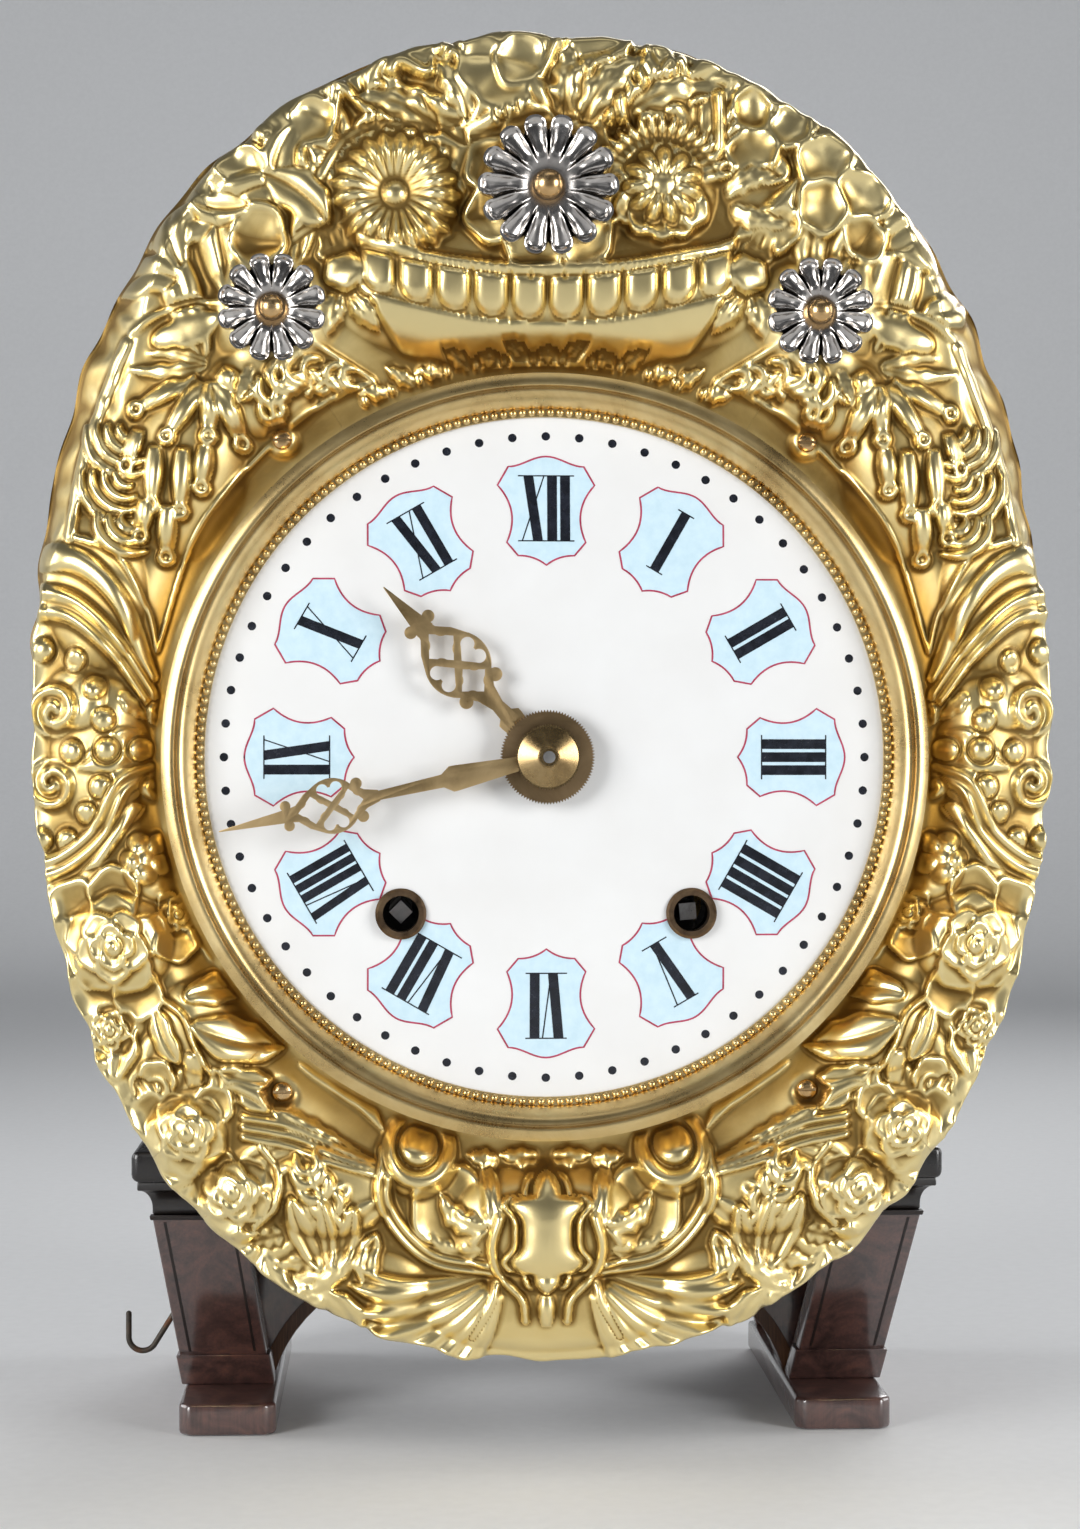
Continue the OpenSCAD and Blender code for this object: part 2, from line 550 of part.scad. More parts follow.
module hour_hand() color("#8d7140") difference() {
    head_v = hour_hand_l * 0.546;
    head_w = hour_hand_l * 0.142;
    hand_place(hour_angle, hour_hand_y) union() {
        hand_head(head_v, head_w);
        leaf() polygon([[-0.3 * head_w, head_v + 1.4 * head_w], [0.3 * head_w, head_v + 1.4 * head_w],
            [0.2, hour_hand_l], [-0.2, hour_hand_l]]);
        leaf() polygon([[-2, head_v - 1.5 * head_w], [2, head_v - 1.5 * head_w], [2.6, 20], [4.4, 18.6], [4.4, 17],
            [2.4, 4], [-2.4, 4], [-4.4, 17], [-4.4, 18.6], [-2.6, 20]]);
        leaf() circle(r = pipe_r + 3, $fn = 64);
    }
    rod(0, dial_height, pipe_r, hour_hand_y - hand_t - 1, hour_hand_y + 1);
}
module minute_hand() color("#8d7140") difference() {
    head_v = minute_hand_l * 0.655;
    head_w = minute_hand_l * 0.083;
    hand_place(minute_angle, minute_hand_y) union() {
        hand_head(head_v, head_w);
        leaf() polygon([[-0.27 * head_w, head_v + 1.4 * head_w], [0.27 * head_w, head_v + 1.4 * head_w],
            [0.2, minute_hand_l], [-0.2, minute_hand_l]]);
        leaf() polygon([[-1.5, head_v - 1.5 * head_w], [1.5, head_v - 1.5 * head_w], [2.2, 36], [4.3, 33],
            [4.3, 31.5], [2, 6], [-2, 6], [-4.3, 31.5], [-4.3, 33], [-2.2, 36]]);
        leaf() circle(r = 7, $fn = 64);
    }
    rod(0, dial_height, arbor_r, minute_hand_y - hand_t - 1, minute_hand_y + 1);
}

// Toothed outlines: sharp collet serrations, and the wheels' slim clock teeth
function serration(teeth, r, depth) = [for (k = [0 : 2 * teeth - 1]) polar(k % 2 == 0 ? r : r - depth, k * 180 / teeth)];
module hour_disc() color("#8a6c3c") at(0, dial_height) slab(hour_disc_y, hour_disc_y + 1.2) difference() {
    polygon(serration(96, hour_disc_d / 2, 0.9));
    circle(r = pipe_r, $fn = 64);
}
module minute_collet() color("#a5803f") at(0, dial_height) {
    base_y = minute_hand_y - hand_t;
    difference() {
        union() {
            slab(base_y - 1, base_y) polygon(serration(90, collet_d / 2, 0.6));
            turned(0, 0) polygon(concat(
                [[0, base_y - 1], [collet_d / 2 - 0.7, base_y - 1]],
                [for (k = [1 : 8]) [mix(collet_d / 2 - 0.7, 3.4, k / 8), base_y - 1 - (collet_h - 2) * sin(k * 11.25)]],
                [[3.2, base_y - collet_h], [0, base_y - collet_h]]));
        }
        rod(0, 0, arbor_r, base_y - collet_h - 1, base_y + 1);
    }
}
function teeth_outline(teeth, m, lead) = [for (k = [0 : teeth - 1])
    let (pitch = 360 / teeth, a = k * pitch + lead, tip = m * (teeth / 2 + 0.85), root = m * (teeth / 2 - 1.2))
    each [polar(root, a - 0.3 * pitch), polar(tip, a - 0.11 * pitch),
        polar(tip, a + 0.11 * pitch), polar(root, a + 0.3 * pitch)]];
module crossings(inner, outer, arms, wide) difference() {
    circle(r = outer, $fn = 64);
    circle(r = inner, $fn = 64);
    for (k = [0 : arms - 1]) rotate(k * 360 / arms + 17) translate([0, -wide / 2]) square([outer + 1, wide]);
}
module wheel(teeth, m, lead, y0, y1, arms) slab(y0, y1) difference() {
    polygon(teeth_outline(teeth, m, lead));
    crossings(max(6, m * teeth * 0.12), m * (teeth / 2 - 1.2) - 3, arms, 3);
}
module pinion(leaves, m, lead, y0, y1) slab(y0, y1) polygon(teeth_outline(leaves, m, lead));

// Motion work: minute arbor, hour wheel with its pipe, motion wheel on a stud
module minute_arbor() color("#77746d") at(0, dial_height) {
    rod(0, 0, arbor_r, arbor_tip, bar_inner);
    wheel(transfer_teeth, transfer_m, transfer_dir, transfer_y, transfer_y + 2.5, 5);
    pinion(cannon_leaves, motion_m, -90, motion_y - 1, transfer_y);
}
module hour_wheel() color("#a88443") at(0, dial_height) difference() {
    union() {
        wheel(hour_teeth, hour_m, -90, hour_y, hour_y + 2.5, 4);
        rod(0, 0, pipe_r, hour_disc_y, hour_y + 2.5);
    }
    rod(0, 0, arbor_r + air, hour_disc_y - 1, hour_y + 3);
}
module motion_wheel() color("#a88443") at(0, dial_height - motion_drop) difference() {
    union() {
        wheel(motion_teeth, motion_m, 90 + 180 / motion_teeth, motion_y, motion_y + 2.5, 4);
        pinion(motion_leaves, hour_m, 90 + 180 / motion_leaves, hour_y - 1.5, motion_y);
    }
    rod(0, 0, arbor_r + run_gap, hour_y - 3, motion_y + 4);
}
module motion_stud() color("#77746d") at(0, dial_height - motion_drop) {
    rod(0, 0, arbor_r, hour_y - 2.5, front_bar);
    rod(0, 0, 3.6, motion_y + 2.5 + air, front_bar);
}

// Trains: barrel with its winding square, great wheel, then three geared arbors
barrel_arbor_r = 4;
square_end = 7;
module barrel(x) at(x, barrel_z) {
    slab(square_end, front_bar - 2) rotate(x < 0 ? 45 : 5) square([square_w, square_w], center = true);
    rod(0, 0, barrel_arbor_r, front_bar - 2, rear_bar + bar_t);
    rod(0, 0, drum_r, drum_y0, drum_y1);
    for (y = [drum_y0, drum_y1 - 2]) rod(0, 0, drum_r + 4, y, y + 2);
}
module great_wheel(x) at(x, barrel_z) difference() {
    wheel(great_teeth, great_m, 90, great_y, great_y + 3, 5);
    rod(0, 0, barrel_arbor_r + run_gap, great_y - 1, great_y + 4);
}
module geared_arbor(x, z, m_leaf, leaf_y, wheel_teeth, wheel_m, wheel_y) at(x, z) {
    rod(0, 0, arbor_r, front_bar, rear_bar + bar_t);
    pinion(pinion_leaves, m_leaf, -90 + 180 / pinion_leaves, leaf_y - 3, leaf_y + 6);
    wheel(wheel_teeth, wheel_m, 90, wheel_y, wheel_y + 2.5, 4);
}
module second_arbor(x) geared_arbor(x, second_z, great_m, great_y, second_teeth, second_m, second_y);
module third_arbor(x) geared_arbor(x, third_z, second_m, second_y, third_teeth, third_m, third_y);
module going_barrel() color("#6b6862") barrel(winding_x);
module strike_barrel() color("#6b6862") barrel(-winding_x);
module going_great_wheel() color("#a88443") great_wheel(winding_x);
module strike_great_wheel() color("#a88443") great_wheel(-winding_x);
module going_second_arbor() color("#a88443") {
    second_arbor(winding_x);
    at(winding_x, second_z) {
        rod(0, 0, arbor_r, transfer_y, front_bar);
        wheel(transfer_teeth, transfer_m, transfer_dir + 180 + 180 / transfer_teeth, transfer_y, transfer_y + 2.5, 5);
    }
}
module going_third_arbor() color("#a88443") third_arbor(winding_x);
module strike_third_arbor() color("#a88443") third_arbor(-winding_x);
module escape_arbor() color("#a88443") at(winding_x, fourth_z) {
    rod(0, 0, arbor_r, front_bar, rear_bar + bar_t);
    pinion(pinion_leaves, third_m, -90 + 180 / pinion_leaves, third_y - 3, third_y + 6);
    slab(escape_y, escape_y + 2) difference() {
        polygon([for (k = [0 : escape_teeth - 1]) each [polar(escape_r, k * 12), polar(escape_r - 3.4, k * 12 + 5)]]);
        crossings(5, escape_r - 6, 4, 2.6);
    }
}

// Anchor over the escape wheel, its pallets held clear of the teeth, and the crutch
module anchor() color("#6b6862") at(winding_x, anchor_z) {
    rod(0, 0, arbor_r, front_bar, rear_bar + bar_t + 4);
    slab(escape_y - 1, escape_y + 3) {
        circle(r = 5, $fn = 48);
        difference() {
            translate([-anchor_rise * 0.66, -anchor_rise * 0.62]) square([anchor_rise * 1.32, anchor_rise * 0.62]);
            translate([0, -anchor_rise]) circle(r = pallet_r, $fn = 96);
            for (side = [-1, 1]) translate([side * anchor_rise * 0.42, 0]) circle(r = anchor_rise * 0.32, $fn = 64);
        }
    }
}
module crutch() color("#6b6862") at(winding_x, anchor_z) slab(rear_bar + bar_t + 1, rear_bar + bar_t + 3) difference() {
    union() {
        circle(r = 5, $fn = 48);
        translate([-2, -150]) square([4, 150]);
        translate([-5, -162]) square([10, 14]);
    }
    circle(r = arbor_r, $fn = 48);
    translate([-1.6, -163]) square([3.2, 11]);
}

// Strike side: pin wheel, fly, sliding rack, hammer and bell
module pin_wheel_arbor() color("#a88443") {
    second_arbor(-winding_x);
    at(-winding_x, second_z) for (k = [0 : 7])
        rotate([0, k * 45, 0]) rod(second_m * (second_teeth / 2 - 1.2) - 1.5, 0, 1, second_y + 1, second_y + 7);
}
module fly_arbor() color("#a88443") at(-winding_x, fourth_z) {
    rod(0, 0, arbor_r, front_bar, rear_bar + bar_t);
    pinion(pinion_leaves, third_m, -90 + 180 / pinion_leaves, third_y - 3, third_y + 6);
    box(-18, 18, bar_inner + 28, bar_inner + 56, -0.6, 0.6);
}
rack_x = -winding_x - bar_w / 2 - 9;
rack_foot = barrel_z + 6;
module strike_rack() color("#77746d") slab(front_bar - 6, front_bar - 2) difference() {
    translate([rack_x - 5, rack_foot]) square([10, 96]);
    for (k = [0 : 11]) translate([rack_x - 5, rack_foot + 30 + k * 4]) rotate(45) square(2, center = true);
}
module rack_guides() color("#77746d") for (z = [rack_foot + 10, rack_foot + 82]) difference() {
    box(rack_x - 8, -winding_x, front_bar - 9, front_bar, z, z + 5);
    box(rack_x - 5.2, rack_x + 5.2, front_bar - 6.2, front_bar - 1.8, z - 1, z + 6);
}
hammer_x = -half_cage + 26;
hammer_z = third_z - 2;
bell_y = (cage_front + cage_back) / 2;
bell_z = cage_top + 10;
head_long = 14;
head_x = -bell_r - 1.5 - head_long;
module hammer() color("#77746d") {
    rod(hammer_x, hammer_z, arbor_r, cage_front + 2, cage_back - 5);
    head_z = bell_z + 12;
    slab(bell_y - 1.5, bell_y + 1.5) polygon([[hammer_x - 2, hammer_z], [hammer_x + 2, hammer_z],
        [head_x + 9, head_z], [head_x + 5, head_z]]);
    translate([head_x, bell_y, head_z]) rotate([0, 90, 0]) cylinder(r = 7, h = head_long, $fn = 48);
    slab(second_y + 4, second_y + 7) polygon([[hammer_x, hammer_z - 2], [hammer_x + 26, hammer_z - 5],
        [hammer_x + 26, hammer_z - 2], [hammer_x, hammer_z + 2]]);
}
module hammer_cocks() color("#55534f") for (y = [cage_front + 2, cage_back - 10]) difference() {
    box(-post_x + post_w / 2, hammer_x + 6, y, y + bar_t, hammer_z - 6, hammer_z + 6);
    rod(hammer_x, hammer_z, arbor_r + run_gap, y - 1, y + bar_t + 1);
}
bell_h = 38;
bell_t = 3;
bell_flat = 9.5;
module bell() color("#a98f5c") translate([0, bell_y, bell_z]) rotate_extrude($fn = 120) polygon(concat(
    [for (k = [0 : 11]) [bell_r * cos(k * 7), bell_h * sin(k * 7)]],
    [[bell_flat, bell_h], [5 + run_gap, bell_h], [5 + run_gap, bell_h - bell_t], [bell_flat, bell_h - bell_t]],
    [for (k = [11 : -1 : 0]) [(bell_r - bell_t) * cos(k * 7), (bell_h - bell_t) * sin(k * 7)]]));
module bell_stand() color("#5d5a55") translate([0, bell_y, cage_top]) {
    cylinder(r = 8, h = bell_z + bell_h - bell_t - cage_top, $fn = 48);
    cylinder(r = 5, h = bell_z + bell_h + 9 - cage_top, $fn = 48);
}
module bell_nut() color("#5d5a55") translate([0, bell_y, bell_z + bell_h]) difference() {
    cylinder(r = 9, h = 6, $fn = 6);
    translate([0, 0, -1]) cylinder(r = 5, h = 9, $fn = 48);
}

place() console_top_board();
place() console_moulding();
place() console_left_leg();
place() console_right_leg();
place() console_left_foot();
place() console_right_foot();
place() console_left_side();
place() console_right_side();
place() console_arch_panel();
place() console_back_board();
place() side_wire_hook();
place() cage_base_plate();
place() cage_top_plate();
place() cage_corner_posts();
place() front_train_bars();
place() rear_train_bars();
place() back_panel();
place() left_door();
place() right_door();
place() dial_plate();
place() plate_posts();
place() enamel_dial();
place() winding_grommets();
place() bezel();
place() surround_screws();
place() crest_sheet();
place() left_side_sheet();
place() right_side_sheet();
place() apron_sheet();
place() large_rosette();
place() small_rosettes();
place() rosette_studs();
place() minute_hand();
place() minute_collet();
place() hour_hand();
place() hour_disc();
place() minute_arbor();
place() hour_wheel();
place() motion_wheel();
place() motion_stud();
place() going_barrel();
place() going_great_wheel();
place() going_second_arbor();
place() going_third_arbor();
place() escape_arbor();
place() anchor();
place() crutch();
place() strike_barrel();
place() strike_great_wheel();
place() pin_wheel_arbor();
place() strike_third_arbor();
place() fly_arbor();
place() strike_rack();
place() rack_guides();
place() hammer();
place() hammer_cocks();
place() bell();
place() bell_stand();
place() bell_nut();
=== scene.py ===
# Comtoise clock on its console: looks of every piece, in the order in which the clock is put together.
import math
import bpy
import numpy as np
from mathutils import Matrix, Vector
from numpy.lib.stride_tricks import sliding_window_view


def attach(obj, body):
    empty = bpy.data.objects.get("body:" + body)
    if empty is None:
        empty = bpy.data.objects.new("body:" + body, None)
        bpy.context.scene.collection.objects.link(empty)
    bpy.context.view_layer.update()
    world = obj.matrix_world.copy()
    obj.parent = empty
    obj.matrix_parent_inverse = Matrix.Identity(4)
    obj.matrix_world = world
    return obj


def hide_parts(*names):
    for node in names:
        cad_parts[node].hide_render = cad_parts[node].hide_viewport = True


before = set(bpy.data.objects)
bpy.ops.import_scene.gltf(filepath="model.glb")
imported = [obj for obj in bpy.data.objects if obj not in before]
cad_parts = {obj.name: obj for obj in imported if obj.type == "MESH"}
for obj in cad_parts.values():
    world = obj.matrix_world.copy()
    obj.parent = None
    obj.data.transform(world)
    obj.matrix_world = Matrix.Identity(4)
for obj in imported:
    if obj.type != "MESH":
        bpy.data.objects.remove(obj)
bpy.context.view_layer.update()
bpy.context.scene.view_settings.view_transform = "Standard"


# Console cap board: a solid board, ebonised and waxed, its arrises worn round by dusting.
# It lies on the moulding and carries the iron cage. Sizes here are millimetres: across,
# back from the dial's rim, and up from the table.
MM = 0.001
DEPTH_MID = 94.4
MERGE = 0.000002
CAP_WEAR = 2.6


def metres(across, back, up):
    return Vector((across * MM, (back - DEPTH_MID) * MM, up * MM))


def pick_only(piece):
    bpy.ops.object.select_all(action="DESELECT")
    bpy.context.view_layer.objects.active = piece
    piece.select_set(True)


def linked(name, data):
    piece = bpy.data.objects.new(name, data)
    bpy.context.scene.collection.objects.link(piece)
    return piece


def opened(piece):
    pick_only(piece)
    bpy.ops.object.mode_set(mode="EDIT")
    bpy.ops.mesh.select_all(action="SELECT")


def worked(piece, kind, **settings):
    pick_only(piece)
    modifier = piece.modifiers.new(kind.lower(), kind)
    for key, value in settings.items():
        setattr(modifier, key, value)
    bpy.ops.object.modifier_apply(modifier=modifier.name)


def cleaned(piece, merged=False):
    opened(piece)
    if merged:
        bpy.ops.mesh.remove_doubles(threshold=MERGE)
    bpy.ops.mesh.normals_make_consistent(inside=False)
    bpy.ops.object.mode_set(mode="OBJECT")
    return piece


def fitted(piece, material, body="clock_frame", stands_for=(), corner=35):
    pick_only(piece)
    piece.data.materials.clear()
    piece.data.materials.append(material)
    bpy.ops.object.shade_smooth_by_angle(angle=math.radians(corner))
    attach(piece, body)
    if stands_for:
        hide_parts(*stands_for)
    return piece


def refinished(node, name, material, wear, segments=3, body="clock_frame"):
    piece = linked(name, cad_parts[node].data.copy())
    pick_only(piece)
    bpy.ops.mesh.customdata_custom_splitnormals_clear()
    opened(piece)
    bpy.ops.mesh.remove_doubles(threshold=MERGE)
    bpy.ops.mesh.dissolve_limited(angle_limit=math.radians(0.5))
    bpy.ops.object.mode_set(mode="OBJECT")
    worked(piece, "BEVEL", width=wear * MM, segments=segments, limit_method="ANGLE",
           angle_limit=math.radians(30.0))
    fitted(piece, material, body, [node])


def finish_for(name):
    material = bpy.data.materials.new(name)
    material.use_nodes = True
    tree = material.node_tree
    return material, tree, tree.nodes["Principled BSDF"]


def tuned(made, values):
    for key, value in values.items():
        made.inputs[key].default_value = value


def put(tree, kind, values=None, **settings):
    made = tree.nodes.new(kind)
    for key, value in settings.items():
        setattr(made, key, value)
    tuned(made, values or {})
    return made


def noise(tree, vector, scale, detail, roughness=0.5, distortion=0.0):
    made = put(tree, "ShaderNodeTexNoise",
               {"Detail": detail, "Roughness": roughness, "Distortion": distortion})
    tree.links.new(vector, made.inputs["Vector"])
    if isinstance(scale, float):
        made.inputs["Scale"].default_value = scale
    else:
        tree.links.new(scale, made.inputs["Scale"])
    return made.outputs["Fac"]


def coloured(tree, source, *stops):
    ramp = put(tree, "ShaderNodeValToRGB")
    while len(ramp.color_ramp.elements) < len(stops):
        ramp.color_ramp.elements.new(0.5)
    for element, (place, colour) in zip(ramp.color_ramp.elements, stops):
        element.position = place
        element.color = (*colour, 1.0)
    tree.links.new(source, ramp.inputs["Fac"])
    tree.links.new(ramp.outputs["Color"], tree.nodes["Principled BSDF"].inputs["Base Color"])


def roughened(tree, source, low, high, first=0.0, last=1.0):
    limits = {"From Min": first, "From Max": last, "To Min": low, "To Max": high}
    change = put(tree, "ShaderNodeMapRange", limits)
    tree.links.new(source, change.inputs["Value"])
    tree.links.new(change.outputs["Result"], tree.nodes["Principled BSDF"].inputs["Roughness"])


def bumped(tree, source, depth, strength):
    bump = put(tree, "ShaderNodeBump", {"Strength": strength, "Distance": depth * MM})
    tree.links.new(source, bump.inputs["Height"])
    tree.links.new(bump.outputs["Normal"], tree.nodes["Principled BSDF"].inputs["Normal"])


def mixed(tree, first, second, share):
    blend = put(tree, "ShaderNodeMix", {"Factor": share}, data_type="FLOAT")
    tree.links.new(first, blend.inputs[2])
    tree.links.new(second, blend.inputs[3])
    return blend.outputs[0]


def effect_group(name, inputs, outputs):
    group = bpy.data.node_groups.new(name, "ShaderNodeTree")
    for label, value in inputs.items():
        socket = group.interface.new_socket(name=label, in_out="INPUT", socket_type="NodeSocketFloat")
        socket.default_value = value
    for label in outputs:
        group.interface.new_socket(name=label, in_out="OUTPUT", socket_type="NodeSocketFloat")
    return group, put(group, "NodeGroupInput"), put(group, "NodeGroupOutput")


def placed_group(tree, group, values):
    made = put(tree, "ShaderNodeGroup", node_tree=group)
    tuned(made, values)
    return made


# Figure shared by every wooden piece: curls and pools of the burr, fine pores along the grain
wood_figure, given, out = effect_group("wood_figure", {"Curl size": 70.0, "Pore size": 900.0},
                                       ("Curl", "Pores", "Burr", "Handled"))
where = put(wood_figure, "ShaderNodeTexCoord").outputs["Object"]
along = put(wood_figure, "ShaderNodeMapping", {"Scale": (1.0, 1.0, 0.06)})
wood_figure.links.new(where, along.inputs["Vector"])
curl = noise(wood_figure, where, given.outputs["Curl size"], 7.0, 0.62, 2.4)
pores = noise(wood_figure, along.outputs["Vector"], given.outputs["Pore size"], 3.0, 0.7)
handled = noise(wood_figure, where, 26.0, 5.0, 0.7)
burr = mixed(wood_figure, curl, pores, 0.25)
for label, source in (("Curl", curl), ("Pores", pores), ("Burr", burr), ("Handled", handled)):
    wood_figure.links.new(source, out.inputs[label])


def wood(name, curl_size, pore_size, shown, stops, rough, pore_deep, pore_strength):
    material, tree, shader = finish_for(name)
    figure = placed_group(tree, wood_figure, {"Curl size": curl_size, "Pore size": pore_size})
    coloured(tree, figure.outputs[shown], *stops)
    roughened(tree, figure.outputs["Handled"], *rough)
    if pore_deep:
        bumped(tree, figure.outputs["Pores"], pore_deep, pore_strength)
    return material, shader


ebony_shades = ((0.38, (0.007, 0.006, 0.006)), (0.6, (0.016, 0.012, 0.010)), (0.78, (0.045, 0.024, 0.016)))
ebonised, shader = wood("ebonised_wax", 40.0, 1100.0, "Handled", ebony_shades, (0.16, 0.42), 0.05, 0.5)
tuned(shader, {"Coat Weight": 0.35, "Coat Roughness": 0.12})

refinished("console_top_board", "console_cap_board", ebonised, CAP_WEAR, 4)


# Console moulding: a fillet over a hollow, run in one profile and mitred round the front
# and sides under the cap. It is ebonised like the cap.
MOULDING_FOOT = 82.0
MOULDING_WEAR = 0.5

refinished("console_moulding", "console_hollow_moulding", ebonised, MOULDING_WEAR, 2)


# Raked legs: mahogany pilasters veneered with burr, leaning back and inward as they go down.
# Two dark lines of stringing are let into each front, and a cord bead closes the top.
LEG_TOP_OUT = 137.0
LEG_WIDE = 32.0
LEG_LEAN = 8.0
LEG_RAKE = 51.0
LEG_FRONT = 49.0
LEG_FOOT = 11.5
LEG_WEAR = 0.7
STRING_WIDE = 1.0
STRING_PROUD = 0.12
STRING_PLACES = (0.13, 0.87)
STRING_RUN = (0.04, 0.8)
CORD_RUN = (0.0, 0.026)
CORD_OVER = 1.6
CORD_PROUD = 0.9
CORD_DEEP = 4.0
CORD_ROUND = 0.5

burr_shades = ((0.3, (0.018, 0.009, 0.008)), (0.45, (0.055, 0.027, 0.023)), (0.56, (0.090, 0.042, 0.034)),
               (0.72, (0.150, 0.062, 0.042)))
mahogany, shader = wood("burr_mahogany", 52.0, 1000.0, "Burr", burr_shades, (0.2, 0.46), 0.03, 0.6)
tuned(shader, {"Coat Weight": 1.0, "Coat Roughness": 0.14, "Coat IOR": 1.7})

string_shades = ((0.3, (0.006, 0.004, 0.004)), (0.7, (0.022, 0.012, 0.009)))
stringing = wood("stringing_black", 300.0, 1600.0, "Curl", string_shades, (0.3, 0.5), 0.0, 0.0)[0]


def started(name, primitive, **settings):
    bpy.ops.object.select_all(action="DESELECT")
    primitive(**settings)
    piece = bpy.context.object
    piece.name = name
    return piece


def on_leg(side, share, down, proud):
    top = Vector((LEG_TOP_OUT - share * LEG_WIDE, LEG_FRONT - proud, MOULDING_FOOT))
    foot = Vector((LEG_TOP_OUT - LEG_LEAN - share * LEG_WIDE, LEG_FRONT + LEG_RAKE - proud, LEG_FOOT))
    place = top.lerp(foot, down)
    return metres(side * place.x, place.y, place.z)


def strip_on_leg(name, side, share, wide, first, last, proud, deep=1.2):
    half = wide / LEG_WIDE / 2.0
    piece = started(name, bpy.ops.mesh.primitive_cube_add, size=2.0)
    for corner in piece.data.vertices:
        back = -proud if corner.co.y < 0 else deep
        corner.co = on_leg(side, share + half * (1 if corner.co.x * side < 0 else -1),
                           first if corner.co.z > 0 else last, -back)
    return cleaned(piece)


for word, side in (("left", -1.0), ("right", 1.0)):
    refinished("console_%s_leg" % word, "console_%s_pilaster" % word, mahogany, LEG_WEAR)
    for number, share in enumerate(STRING_PLACES):
        name = "%s_leg_string_%d" % (word, number + 1)
        line = strip_on_leg(name, side, share, STRING_WIDE, *STRING_RUN, STRING_PROUD)
        fitted(line, stringing)
    cord = strip_on_leg("%s_leg_cord_bead" % word, side, 0.5, LEG_WIDE + CORD_OVER, *CORD_RUN, CORD_PROUD,
                        CORD_DEEP)
    worked(cord, "BEVEL", width=CORD_ROUND * MM, segments=3, limit_method="NONE")
    fitted(cord, stringing)


# Feet: mahogany blocks glued under the legs, with a plinth block wrapped round the foot of
# each leg. The lower edges are rubbed round from standing on stone.
PLINTH_RUN = (0.82, 1.0)
PLINTH_OVER = 2.4
PLINTH_PROUD = 1.2
PLINTH_DEEP = 12.0
PLINTH_WEAR = 0.7
FOOT_WEAR = 1.6

for word, side in (("left", -1.0), ("right", 1.0)):
    refinished("console_%s_foot" % word, "console_%s_foot_block" % word, mahogany, FOOT_WEAR, 4)
    plinth = strip_on_leg("console_%s_plinth" % word, side, 0.5, LEG_WIDE + PLINTH_OVER, *PLINTH_RUN,
                          PLINTH_PROUD, PLINTH_DEEP)
    worked(plinth, "BEVEL", width=PLINTH_WEAR * MM, segments=3, limit_method="NONE")
    fitted(plinth, mahogany)


# Carcase behind the legs: two side boards, an arched front panel and an arched back board,
# mahogany, glued and pinned. A lighter strip laid round the arch is painted light for the lit edge of the
# arch board.
ARCH_HALF = 98.0
ARCH_RISE = 62.0
ARCH_FRONT = 124.0
ARCH_BAND = 5.0
ARCH_STEPS = 72
BAND_START = 0.038
BAND_GAP = 0.15
BAND_PROUD = 0.05
BAND_THICK = 0.5
BOARD_WEAR = 0.6

for node in ("console_left_side", "console_right_side", "console_arch_panel", "console_back_board"):
    refinished(node, node + "_veneered", mahogany, BOARD_WEAR, 2)

# Lighter shades for the strip round the arch: painted light that stands in for the lit edge of the board
lit_edge_shades = ((0.3, (0.055, 0.022, 0.010)), (0.55, (0.115, 0.050, 0.022)), (0.75, (0.17, 0.080, 0.036)))
lit_edge_wood = wood("arch_band_painted_lit_edge", 120.0, 1300.0, "Pores", lit_edge_shades, (0.3, 0.5), 0.05, 0.5)[0]

arch_band = started("console_arch_band", bpy.ops.mesh.primitive_grid_add, x_subdivisions=ARCH_STEPS,
                    y_subdivisions=2, size=2.0)
for corner in arch_band.data.vertices:
    turn = math.pi * (BAND_START + (1.0 - 2.0 * BAND_START) * (corner.co.x + 1.0) / 2.0)
    spread = BAND_GAP + ARCH_BAND * (corner.co.y + 1.0) / 2.0
    across, up = (ARCH_HALF + spread) * math.cos(turn), (ARCH_RISE + spread) * math.sin(turn)
    corner.co = metres(across, ARCH_FRONT - BAND_PROUD, up)
cleaned(arch_band)
worked(arch_band, "SOLIDIFY", thickness=BAND_THICK * MM, offset=0.0)
fitted(arch_band, lit_edge_wood)


# Wire hook at the lower left: bent from one length of iron wire, its point driven into the
# side board. Half of it has gone to rust.
def dressed(material, *nodes):
    for name in nodes:
        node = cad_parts[name]
        if not node.material_slots:
            node.data.materials.append(material)
        for place in node.material_slots:
            place.material = material


# Age shared by every metal: slow clouds of tarnish, small dents, fine marks of cloth and brush
metal_age, given, out = effect_group("metal_age", {"Cloud size": 30.0, "Grain size": 700.0},
                                     ("Cloud", "Grain", "Marks"))
where = put(metal_age, "ShaderNodeTexCoord").outputs["Object"]
slant = put(metal_age, "ShaderNodeMapping", {"Rotation": (0.3, 0.5, 0.7), "Scale": (1.0, 0.08, 1.0)})
metal_age.links.new(where, slant.inputs["Vector"])
clouds = noise(metal_age, where, given.outputs["Cloud size"], 6.0, 0.65, 0.6)
grain = noise(metal_age, where, given.outputs["Grain size"], 4.0, 0.6)
marks = noise(metal_age, slant.outputs["Vector"], 1600.0, 2.0)
for label, source in (("Cloud", clouds), ("Grain", grain), ("Marks", marks)):
    metal_age.links.new(source, out.inputs[label])


def metal(name, colours, rough, cloud=30.0, grain=700.0, dents=0.03, shine=1.0):
    material, tree, shader = finish_for(name)
    age = placed_group(tree, metal_age, {"Cloud size": cloud, "Grain size": grain})
    coloured(tree, age.outputs["Cloud"], *zip((0.3, 0.5, 0.7), colours))
    roughened(tree, mixed(tree, age.outputs["Cloud"], age.outputs["Marks"], 0.4), *rough, 0.3, 0.7)
    bumped(tree, age.outputs["Grain"], dents, 0.6)
    tuned(shader, {"Metallic": shine})
    return material


